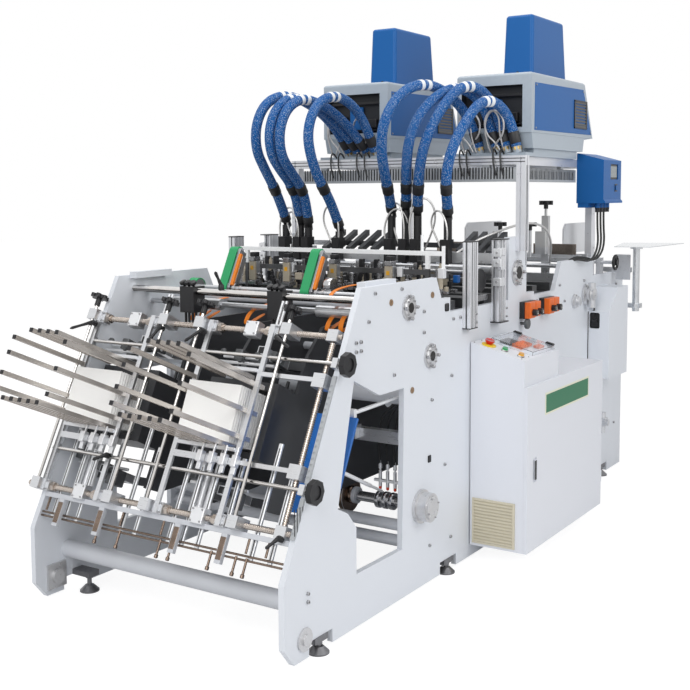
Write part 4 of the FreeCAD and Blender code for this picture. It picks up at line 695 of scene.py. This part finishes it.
# Window group: blue guard plates, a row of needle valves with red tips, two stay rods on
# feet, and the drive shaft with its clamp rings and its flange.
blue_guard = finish("blue_guard", (0.01, 0.13, 0.46), 0.4, grain=500, vary=0.05)
fit("blue_guards", [rack_block((429, 644.5), (244, 258), rows)
                    for rows in ((362, 421), (429, 514), (522, 713))], blue_guard)
valve_xs = (480, 518, 556)
stays = copies(turned([(8, 0), (8, 3), (4, 6), (4, 10), (8.5, 13), (8.5, 30), (3, 38), (3, 48)],
                      16), [(at(x, 1000, 518), (0, 0, 1)) for x in valve_xs])
for (x, y, z), end in (((606, 577, 866), (634, 921, 884)), ((606, 457, 657), (566, 872, 468))):
    run = at(*end) - at(x, y, z)
    reach = run.length * 1000
    stays += [place(turned([(6, 0), (8.5, 8), (8.5, reach * 0.72), (6, reach * 0.74),
                            (6, reach - 6), (4, reach)], 20), at(x, y, z), run),
              block((x - 14, x + 14), (y - 16, y + 6), (z - 18, z + 18), 3)]
fit("window_fittings", stays, bright)
fit("valve_tips", copies(turned([(4, 0), (7, 2), (7, 12), (5, 16)], 16),
                         [(at(x, 1000, 451), (0, 0, -1)) for x in valve_xs]),
    finish("red_tip", (0.75, 0.06, 0.02), 0.4))
shaft_steel = finish("ground_steel", (0.5, 0.5, 0.51), 0.22, metal=1.0, grain=20, vary=0.15)
rings = copies(turned([(24, -9.5), (37, -9.5), (38.6, -7), (38.6, 7), (37, 9.5), (24, 9.5)], 36),
               [(at(x, shaft_y, shaft_z), (1, 0, 0)) for x in (464, 500, 534)])
rings.append(place(turned([(21, 0), (22.6, 0), (22.6, 290), (21, 290)]),
                   at(352, shaft_y, shaft_z), (1, 0, 0)))
fit("shaft_rings", rings, shaft_steel)
flange = turned([(24, -0.6), (80, -0.6), (83.2, 2), (83.2, 20), (80, 22.6), (40, 22.6),
                 (38.8, 40), (24, 60)], 48)
fit("shaft_flange", [place(flange, at(290, shaft_y, shaft_z), (1, 0, 0))], dark_bronze)

# Head belts: flat green belts over two pulleys on the belt shaft, with orange belts beside
# them and sweeping under them.
belt_shaft = (1005, 1300)
belt_place = Matrix.Translation(at(0, *belt_shaft)) @ Matrix.Rotation(-lean, 4, "X")
belt_xs = (-393, 87)
orange_rubber = finish("orange_belt", (0.78, 0.21, 0.006), 0.5, grain=350, vary=0.1, bump=0.3)
fit("orange_belts", [block((x + 43, x + 59), (-31, -13), (6, 172), 4, belt_place)
                     for x in belt_xs], orange_rubber)
covers = [block((x + 31.5, x + 43), (-27, 26), (-8, 196), 2, belt_place) for x in belt_xs]
covers += [block((x + 43, x + 56), (-12, 22), (10, 168), 2, belt_place) for x in belt_xs]
fit("belt_covers", covers, finish("guide_steel", (0.30, 0.31, 0.33), 0.3, metal=0.8, grain=60))
rolls = [place(turned([(8, 0), (34, 0), (36, 3), (36, 34), (34, 37), (8, 37)]),
               at(176, 1036, 1334), (1, 0, 0))]
for dx, radius in ((52, 24), (84, 15)):
    rolls += copies(turned([(6, 0), (radius - 2, 0), (radius, 2), (radius, 12), (radius - 2, 14),
                            (6, 14)], 28),
                    [(at(x + dx, *belt_shaft), (1, 0, 0)) for x in belt_xs])
fit("belt_rolls", rolls, shaft_steel)


def ribbon(left, right, line):
    """A flat belt that keeps its width across X, along a line of Y and height."""
    bpy.ops.object.select_all(action="DESELECT")
    bpy.ops.mesh.primitive_plane_add(size=1, location=(0, 0, 0))
    strip = bpy.context.object
    mode("EDIT")
    bpy.ops.transform.resize(value=((right - left) / 1000, 0, 1), center_override=(0, 0, 0))
    bpy.ops.mesh.remove_doubles(threshold=0.0001)
    start = at((left + right) / 2, *line[0])
    bpy.ops.transform.translate(value=start)
    for y, z in line[1:]:
        spot = at((left + right) / 2, y, z)
        extrude(spot - start)
        start = spot
    mode("OBJECT")
    smoother = strip.modifiers.new("smoother", "SUBSURF")
    smoother.levels = smoother.render_levels = 2
    thickness = strip.modifiers.new("thickness", "SOLIDIFY")
    thickness.thickness, thickness.offset = 0.003, 0
    bpy.ops.object.modifier_apply(modifier="smoother")
    bpy.ops.object.modifier_apply(modifier="thickness")
    bpy.ops.object.shade_smooth_by_angle(angle=0.8)
    return strip


sweeps = [ribbon(396, 414, [(985, 1352), (905, 1356), (830, 1352), (770, 1346), (735, 1336),
                            (712, 1318), (706, 1300), (720, 1290), (800, 1296), (900, 1300)])]
for x, rise in ((-352, 0), (-300, 16), (-40, 0), (393, 0), (462, 14)):
    sweeps.append(ribbon(x - 11, x + 11, [
        (985, 1262), (905, 1254 + rise), (830, 1246 + rise), (770, 1238 + rise),
        (735, 1222 + rise), (712, 1196 + rise), (706, 1180), (716, 1170), (760, 1186),
        (850, 1210)]))
fit("belt_sweeps", sweeps, orange_rubber)
green = finish("green_belt", (0.02, 0.34, 0.12), 0.55, grain=350, vary=0.12, bump=0.3)
dress(green, "head_belts")

# Deck: air valves on the stand bar, clamps on the post rods, gun modules under the guns,
# and small cylinders and blocks between them.
gun_xs = (-594, -498, -445, -245, 79, 164, 232, 405)
valve_units = (-415, -205, 68, 377)
deck_brown = [block((left, right), (1500, 1522), (1366, 1392), 3)
              for left, right in ((24, 136), (437, 506), (-560, -480))]
deck_brown.append(block((-152, -112), (1244, 1268), (1334, 1368), 3))
deck_bright = copies(turned([(5, 0), (7, 2), (7, 12), (4, 14), (4, 24)], 16),
                     [(at(x + 19, 1262, z), (1, 0, 0)) for x in valve_units for z in (1334, 1352)])
deck_bright += copies(turned([(10, 0), (10, 12), (4, 22), (3, 30)], 16),
                      [(at(x, 1769, 1290), (0, 0, -1)) for x in gun_xs])
deck_bright += copies(turned([(6, 0), (6, 120), (9, 122), (9, 140), (6, 142)], 16),
                      [(at(x + 24 - 48 * (k % 2), 1452, 1262), (0, 0, 1))
                       for k, x in enumerate(gun_xs)])
deck_bright += [block((-640, 640), (1330, 1350), (1290, 1302), 1.5),
                block((-640, 640), (1420, 1436), (1290, 1306), 1.5),
                block((646, 668), (1520, 1700), (1236, 1262), 2)]
deck_dark = [place(turned([(20, 0), (56, 2), (60, 6), (60, 66), (56, 70), (20, 72)], 40),
                   at(78, 1400, 1330), (1, 0, 0)),
             place(turned([(10, 0), (54, 0), (56, 3), (56, 17), (54, 20), (10, 20)], 40),
                   at(640, 1648, 1332), (1, 0, 0)),
             block((668, 673), (1250, 1286), (1220, 1256), 6),
             block((669, 676), (1092, 1116), (560, 592), 3)]
deck_dark += copies(turned([(6, 0), (6, 12), (15, 14), (17, 20), (15, 28), (5, 30)], 14),
                    [(at(x + 26 * k, 632, 1338), (0.15 * k, -0.5, 1))
                     for x in (-300, 190) for k in (-1, 0, 1)])
for x in valve_units:
    deck_bright += [block((x - 17, x + 17), (1240, 1292), (1416, 1440), 3),
                    block((x - 24, x + 24), (1238, 1294), (1300, 1318), 2)]
    deck_dark.append(block((x - 15, x + 15), (1246, 1290), (1440, 1462), 4))
    deck_brown.append(block((x - 19, x + 19), (1243, 1257), (1322, 1416), 2))
amber_label = finish("amber_label", (0.72, 0.36, 0.02), 0.4, grain=300, vary=0.05)
fit("valve_marks", [block((x - 9, x + 9), (1241.8, 1243.4), (1374, 1394), 0.5)
                    for x in valve_units], amber_label)
for x in gun_xs:
    deck_bright += [block((x - 18, x + 18), (1750, 1788), (1326, 1359), 2),
                    block((x - 15, x + 15), (1461, 1499), (1371, 1421), 2)]
    deck_dark.append(block((x + 16, x + 38), (1440, 1466), (1384, 1432), 3))
    deck_brown.append(block((x - 13, x + 13), (1754, 1784), (1290, 1326), 2))
for k in range(26):
    x = -600 + 48 * k
    y = (1340, 1372, 1410, 1356, 1392)[k % 5]
    tall = (78, 112, 60, 96, 128, 70, 104)[k % 7]
    group = (deck_bright, deck_dark, deck_brown)[(k * 2) % 3]
    group.append(place(turned([(11, 0), (13, 2), (13, tall * 0.7), (9, tall * 0.74), (9, tall),
                               (5, tall + 2), (5, tall + 12)], 18), at(x, y, 1290)))
    if k % 2:
        deck_bright.append(block((x - 20, x + 16), (y - 20, y + 14),
                                 (1288, 1308 + 6 * (k % 4)), 2))
for k in range(44):
    x, y, high = -634 + 29 * k, 1312 + 38 * (k * 7 % 5), 34 + k * 13 % 62
    group = (deck_dark, deck_bright, deck_dark, deck_brown)[k % 4]
    if k % 3:
        group.append(block((x, x + 15), (y, y + 20), (1287, 1287 + high), 2.5))
    else:
        group.append(place(turned([(9, 0), (11, 2), (11, high * 0.6), (5, high * 0.6 + 2),
                                   (5, high)], 18), at(x, y, 1287)))
for x, tip in ((-123, (-142, 622, 1392)), (214, (196, 620, 1372))):
    foot = at(x, 640, 1330)
    reach = (at(*tip) - foot).length * 1000
    deck_dark += [place(turned([(10, 0), (13, 2), (13, 20), (9, 26)], 18), foot),
                  place(turned([(7, 0), (9, 6), (6, reach * 0.5), (8, reach * 0.9), (3, reach)],
                               16), foot + Vector((0, 0, 0.02)), at(*tip) - foot)]
deck_steel = finish("deck_steel", (0.30, 0.30, 0.31), 0.25, metal=0.9, grain=60, vary=0.4)
beige_block = finish("beige_block", (0.42, 0.37, 0.29), 0.4, metal=0.2, grain=200, vary=0.15)
fit("deck_fittings", deck_bright, deck_steel)
fit("deck_cylinders", deck_dark, black_plastic)
fit("deck_blocks", deck_brown, beige_block)
fit("deck_clamps", [block((x - 14, x + 14), (1277, 1308), (1366, 1412), 2)
                    for x in (-199, 419, 634)], bright)
fit("blue_fitting", [block((588, 616), (1488, 1512), (1330, 1366), 4)], blue_guard)

# Cables: braided loops by the guns and the tanks, and black cables down from the controller.
braid_steel = finish("steel_braid", (0.62, 0.61, 0.60), 0.32, metal=0.7, grain=300, vary=0.5,
                     bump=0.6)
cable_black = finish("cable_black", (0.012, 0.012, 0.013), 0.45, grain=200)


def tube(name, points, dia, material):
    """A thin cable or air tube on one smooth line through its points."""
    cord = fit(name, [route(name, points, dia, steps=8, facets=2)], material)
    line = line_of(cord)


for k, (gun, wide, high) in enumerate(((-594, 74, 238), (-498, -62, 214), (-245, -76, 246),
                                       (79, 82, 232), (164, -58, 262), (232, 92, 286),
                                       (405, -70, 224))):
    start = gun + (25 if wide > 0 else -25)
    tube("gun_cable_%d" % (k + 1),
         [(start, 1792, 1440), (start + wide * 0.5, 1788, 1520),
          (start + wide, 1780, 1440 + high * 0.7), (start + wide * 0.6, 1768, 1440 + high),
          (start - wide * 0.1, 1758, 1440 + high), (start - wide * 0.6, 1752, 1440 + high * 0.65),
          (start - wide * 0.55, 1756, 1500), (start - wide * 0.4, 1760, 1400)],
         10, braid_steel)
for k, (x, y, wide) in enumerate(((330, 2128, 110), (480, 2124, 96), (-500, 2128, 100),
                                  (-330, 2124, 90), (400, 2122, -84), (560, 2126, -100),
                                  (-420, 2122, -84))):
    tube("tank_cable_%d" % (k + 1),
         [(x, y, 1962), (x - 20, y - 26, 2040), (x - 10, y - 46, 2140),
          (x + wide * 0.5, y - 56, 2186), (x + wide, y - 46, 2130), (x + wide * 0.9, y - 30, 2050),
          (x + wide * 0.4, y - 20, 2010), (x + wide * 0.2, y - 6, 1964)],
         10, braid_steel)
for k, x in enumerate((-470, -420, -300, -250, 330, 370, 520, 560)):
    tube("drop_cable_%d" % (k + 1),
         [(x, 2114, 1952), (x + 4, 2086, 1974), (x + 14, 2040, 1976), (x + 26, 2010, 1930),
          (x + 34, 2006, 1880), (x + 44, 2012, 1840)], 9, cable_black)
gland_ys = (2990, 3042, 3094, 3146)
for k, y in enumerate(gland_ys[:3]):
    tube("controller_cable_%d" % (k + 1),
         [(750, y, 1640), (752, y - 4, 1560), (756, y + 6, 1470), (748, y - 10, 1400),
          (728, y - 50 - 10 * k, 1356), (700, y - 110 - 20 * k, 1366 + 6 * k),
          (672, 2850 - 16 * k, 1372 + 8 * k), (646, 2810 - 20 * k, 1352)],
         12, cable_black)
tube("hub_cable", [(690, 3074, 1130), (704, 3084, 1100), (706, 3086, 1060), (704, 3086, 1020)],
     9, cable_black)
tube("long_cable", [(430, 1800, 1440), (500, 1850, 1500), (590, 2000, 1560), (636, 2250, 1600),
                    (640, 2480, 1570), (612, 2640, 1490), (570, 2740, 1400), (540, 2780, 1300)],
     12, braid_steel)
for k, x in enumerate(valve_xs):
    tube("valve_cable_%d" % (k + 1),
         [(x, 1000, 540), (x - 4, 996, 600), (x + 16, 970, 690), (x + 30, 960, 780),
          (600 + 10 * k, 985, 850), (610 + 10 * k, 1005, 960)], 7, cable_black)

# Wire ducts: grey slotted channels under the bridge. Their slots, and the grooves of the bridge
# and of its posts, are thin black strips of painted shade.
duct_grey = finish("duct_grey", (0.42, 0.44, 0.46), 0.5, grain=200, vary=0.05)
dress(duct_grey, "wire_duct")
# Each black strip is painted shade standing in for the dark inside of a slot or groove.
slots = [block((x, x + 7), (2021.2, 2022.6), (1822, 1882), 0.3) for x in range(-628, 650, 17)]
slots += [block((644.4, 645.8), (y, y + 7), (1822, 1882), 0.3) for y in range(2084, 2900, 17)]
slots += [block((666.4, 667.8), (y - 2, y + 2), (500, 600), 0.3) for y in (75, 92, 110, 128)]
slots += [block((-718, 718), (2021, 2022.4), (z - 2, z + 2), 0.3) for z in (1909, 1926)]
slots += [block((side * 719.4, side * 720.6), (y - 1.5, y + 1.5), (1385, 1890), 0.3)
          for side in (-1, 1) for y in (2036, 2052)]
fit("duct_slot_shade", slots, black_plastic)

# Posts: drawn profiles with grooves in dark strips of painted shade, black end caps, and square
# clamps on the second pair.
caps, grooves, clamps = [], [], []
marks = [spot for x, y in ((710, 1490), (725, 1795))
         for spot in both_sides(x, ((y, 1150), (y, 1190)))]
for side in (-1, 1):
    for y0, y1, reach in ((1427, 1507, 711), (1728, 1820, 727)):
        caps += [block((side * 669.6, side * reach), (y0 - 1, y1 + 1), rows)
                 for rows in ((1121, 1126.4), (1524.6, 1530))]
        # The groove strips are painted shade in the posts' grooves.
        grooves += [block((side * 708, side * 710.5), (y - 2, y + 2), (1128, 1523), 0.4)
                    for y in (y0 + 20, y0 + 40, y0 + 60)]
        grooves.append(block((side * 686, side * 692), (y0 - 0.6, y0 + 2), (1128, 1523), 0.4))
    for z in (1464, 1414, 1322):
        clamps.append(block((side * 690, side * 728), (1716, 1729), (z - 20, z + 20), 2))
        marks.append((at(side * 709, 1717, z), (0, -1, 0)))
fit("post_caps", caps, black_plastic)
fit("post_groove_shade", grooves, iron_grey)
fit("post_clamps", clamps, bright)
cap_screws("post_screws", 11, marks)

# Melt tanks: grey painted housings with blue panels, and tall blue hoppers. A black pocket
# with a shelf and units opens in the front of each housing.
tank_xs = (-590, 265)
tank_blue = finish("tank_blue", (0.006, 0.110, 0.36), 0.42, grain=600, vary=0.05, shine=0.3)
dress(zoned("tank_paint", ((0.40, 0.46, 0.52), 0.34, 0.0),
            [((0.008, 0.010, 0.014), 0.5, 0.2, (x0 + 24, 2166.5, 2088), (x0 + 374, 2226, 2310))
             for x0 in tank_xs]), "tanks")
dress(tank_blue, "hoppers", "controller")


def panel(outline, x, thick):
    """A flat panel on a side face, cut to an outline of Y and height."""
    bpy.ops.object.select_all(action="DESELECT")
    bpy.ops.mesh.primitive_circle_add(vertices=len(outline), radius=1, fill_type="NGON",
                                      location=(0, 0, 0))
    sheet = bpy.context.object
    for corner, (y, z) in zip(sheet.data.vertices, outline):
        corner.co = at(x, y, z)
    mode("EDIT", "SELECT")
    extrude((thick / 1000, 0, 0))
    bpy.ops.mesh.select_all(action="SELECT")
    bpy.ops.mesh.bevel(offset=0.0008, segments=1, affect="EDGES")
    bpy.ops.mesh.normals_make_consistent(inside=False)
    mode("OBJECT")
    return sheet


trims = []
for x0 in tank_xs:
    side = x0 + 425
    fit("tank_panel_%d" % (side + 500),
        [panel([(2206, 2318), (2202, 2075), (3030, 2082), (2896, 2330)], side - 1, 3.4)],
        tank_blue)
    trims += [block((side - 1, side + 7.4), ys, zs)
              for ys, zs in (((2752, 2761), (2110, 2265)), ((2938, 2947), (2110, 2265)),
                             ((2752, 2947), (2257, 2266)), ((2752, 2947), (2109, 2118)))]
    trims += [block((x0 + 28, x0 + 370), (2180, 2224), (2104, 2110)),
              block((x0 + 60, x0 + 130), (2196, 2225), (2112, 2190), 4),
              block((x0 + 250, x0 + 330), (2200, 2225), (2120, 2170), 4),
              block((x0 + 40, x0 + 360), (2190, 2202), (2252, 2266), 2),
              place(turned([(9, -1), (9, 6), (6, 8), (4, 8)], 20), at(x0 + 212, 2470, 2400),
                    (0, -1, 0.1))]
    fit("pocket_panel_%d" % (x0 + 600),
        [block((x0 + 150, x0 + 236), (2208, 2225.6), (2112, 2240), 4)], tank_blue)
    cap_screws("panel_screws_%d" % (x0 + 600), 9,
               [(at(side + 2, y, z), (1, 0, 0))
                for y, z in ((2216, 2306), (2890, 2318), (3012, 2092), (2212, 2086))])
fit("tank_trims", trims, black_plastic)

# Hose nuts: brass fittings where each hose comes down on its tank.
spots = []
for line in hose_lines:
    run = line[-1] - line[-4]
    spots.append((line[-1] + run.normalized() * 0.002, run))
brass = finish("brass", (0.55, 0.38, 0.14), 0.3, metal=1.0, grain=80, vary=0.15)
nut = turned([(16, 0), (24, 1), (24, 16), (22, 18), (22, 26), (16, 27)], 6)
fit("hose_nuts", copies(nut, spots), brass)

# Controller: a blue case with a small screen in a black frame and a dial below it.
fit("controller_trim",
    [block((798.8, 800.4), (3049, 3175), (1827, 1913), 0.5),
     block((804.9, 806.2), (3118, 3166), (1756, 1800), 0.5),
     place(turned([(15, 0), (15, 4), (12, 5), (11, 3)], 28), at(806, 3142, 1778), (1, 0, 0))],
    black_plastic)
fit("screen_glass", [block((799.8, 801), (3060, 3164), (1838, 1902), 0.4)],
    finish("screen_glass", (0.23, 0.26, 0.27), 0.15, grain=300, vary=0.1))
gland = turned([(11, -26), (14, -26), (14, -8), (15, -7), (15, 0)], 20)
fit("cable_glands", copies(gland, [(at(750, y, 1664), (0, 0, 1)) for y in gland_ys]),
    black_plastic)

# Control cabinet: a folded steel case with a white coat, its door, and a clear cover. The
# vent grilles and the switch boxes on the near plate are moulded.
cabinet_coat = finish("cabinet_coat", (0.74, 0.76, 0.81), 0.38, grain=900, vary=0.015, bump=0.06)
dress(cabinet_coat, "cabinet_case", "cabinet_door")
clear = finish("clear_acrylic", (0.93, 0.95, 0.97), 0.0, grain=20, vary=0.01, bump=0)
feed(clear.node_tree, clear.node_tree.nodes["Principled BSDF"],
     {"Transmission Weight": 0.96, "IOR": 1.2})
dress(clear, "console_cover")
dress(zoned("grille_moulding", ((0.62, 0.57, 0.44), 0.45, 0.0),
            [((0.07, 0.072, 0.075), 0.35, 0.7, (-700, 2700, 2000), (700, 3000, 2300))]),
      "vent_grilles")
orange_paint = (0.80, 0.145, 0.012)
dress(zoned("switch_moulding", (orange_paint, 0.4, 0.0),
            [(*jet, (669, 2070, 1100), (698.4, 2490, 1200)),
             (*jet, (730.4, 2070, 1100), (756, 2490, 1200)),
             ((0.42, 0.43, 0.44), 0.3, 0.9, (700, 1500, 980), (940, 1600, 1080))]), "switches")
fit("switch_caps", copies(turned([(9, -1), (9, 2), (6, 2.6), (3, 1)], 20),
                          [(at(754, y, 1138), (1, 0, 0)) for y in (2117, 2188, 2374, 2445)]),
    chrome)

# Console: buttons with metal rings, an orange and a grey unit under the clear cover, and
# black hinge blocks on the cover. Everything is set on the slope of the console's top.
console_fall, console_run = 69, 272
console_place = (Matrix.Translation(origin + Vector((0.675, 1.508, 1.052)))
                 @ Matrix.Rotation(math.atan2(console_fall, console_run), 4, "Y"))


def button(name, steps, x, material):
    """A round piece in the console's row of buttons."""
    knob = turned(steps)
    knob.data.transform(console_place @ Matrix.Translation((x / 1000, 0.052, 0)))
    fit(name, [knob], material)


yellow = finish("yellow_moulding", (0.80, 0.56, 0.01), 0.4, grain=300, vary=0.04)
red = finish("red_moulding", (0.62, 0.015, 0.012), 0.33, grain=300, vary=0.04)
leaf_green = finish("green_moulding", (0.01, 0.32, 0.09), 0.35, grain=300, vary=0.04)
amber = finish("amber_moulding", (0.75, 0.36, 0.02), 0.35, grain=300, vary=0.04)
button("stop_ring", [(34, 0.2), (34, 5), (32, 6.8), (20, 6.8)], 70, yellow)
button("stop_head", [(13, 7), (20, 17), (23, 21), (23, 26), (19, 31), (8, 32.5)], 70, red)
for x, name, tint in ((154, "start_button", leaf_green), (238, "reset_button", amber)):
    button(name + "_ring", [(17.6, 0.2), (17.6, 5), (15.5, 6.6), (14, 6.6)], x, chrome)
    button(name, [(13.4, 6.8), (13.4, 15), (12, 18.6), (5, 19)], x, tint)
fit("console_unit_grey", [block((70, 128), (170, 262), (0.3, 13), 2, console_place)],
    iron_grey)
fit("console_unit_orange", [block((132, 186), (176, 300), (0.3, 15), 3, console_place),
                            block((196, 228), (286, 352), (0.3, 12), 3, console_place)],
    finish("orange_case", orange_paint, 0.4, grain=300, vary=0.05))
hinges = []
for x0 in (42, 218):
    hinges.append(block((x0, x0 + 42), (378, 400), (19.8, 26), 2, console_place))
    hinges += [block((x, x + 4), (380, 398), (25.6, 28.6), 1, console_place)
               for x in range(x0 + 3, x0 + 43, 8)]
fit("hinge_blocks", hinges, black_plastic, "console_cover")
console_up = console_place.to_3x3() @ Vector((0, 0, 1))
cap_screws("console_screws", 6, [(console_place @ (Vector((x, y, 0.2)) / 1000), console_up)
                                 for x in (12, 260) for y in (12, 92, 403)])
dial = turned([(7, 0), (7, 26), (24, 28), (27, 31), (27, 42), (24, 45), (6, 45)], 36)
fit("level_dial", [place(dial, at(670, 2097, 1080), (1, 0, 0))], iron_grey)

# Cabinet door: a black strip of painted shade in the handle's slot, and a plate that is left bare,
# green in a pale rim.
fit("handle_slot_shade", [block((970.2, 971.6), (1585, 1607), (412, 504), 0.4)], black_plastic,
    "cabinet_door")
fit("blank_plate", [block((964.6, 966.2), (1716, 2296), (697, 803), 0.5)],
    finish("plate_rim", (0.78, 0.77, 0.62), 0.4, grain=400, vary=0.03),
    "cabinet_door")
fit("blank_field", [block((965.6, 966.9), (1726, 2286), (706, 794), 0.4)],
    finish("plate_green", (0.012, 0.16, 0.07), 0.4, grain=400, vary=0.05),
    "cabinet_door")

# Plate hubs: the round hub and the oval flange on the near plate, with their screws, and
# the black hatch of the guard box.
hub_y, hub_z, oval_y, oval_z = 3027, 1158, 2849, 1132
round_hub = turned([(30, -1), (56, -1), (58, 2), (58, 12), (52, 14), (34, 14), (32, 22),
                    (44, 24), (46, 30), (46, 38), (34, 41), (30, 50), (38, 52), (38, 60),
                    (20, 64)], 40)
oval_flange = turned([(24, -1), (38, -1), (40, 2), (40, 10), (26, 14), (20, 24), (24, 26),
                      (24, 34), (12, 38)], 32)
fit("plate_hubs", [place(round_hub, at(671, hub_y, hub_z), (1, 0, 0)),
                   place(oval_flange, at(671, oval_y, oval_z), (1, 0, 0))],
    machined)
marks = [(at(flange_face, y, z), (1, 0, 0)) for y, z in circle(hub_y, hub_z, 48, 0, 6)]
marks += [(at(681, oval_y, z), (1, 0, 0)) for z in (oval_z - 32, oval_z + 32)]
cap_screws("hub_screws", 10, marks)
fit("guard_hatch", [block((680, 740), (3090, 3095), (952, 1043), 6),
                    block((694, 726), (3080, 3092), (984, 1006), 3),
                    block((670.4, 674), (3076.4, 3080.2), (660, 1050), 0.6)],
    black_plastic)

# Feed table: a bare aluminium sheet on a chrome pole.
bright_sheet = finish("bright_sheet", (0.72, 0.74, 0.76), 0.25, metal=0.9, grain=20,
                      stretch=(1, 10, 1), vary=0.08)
dress(bright_sheet, "feed_table")
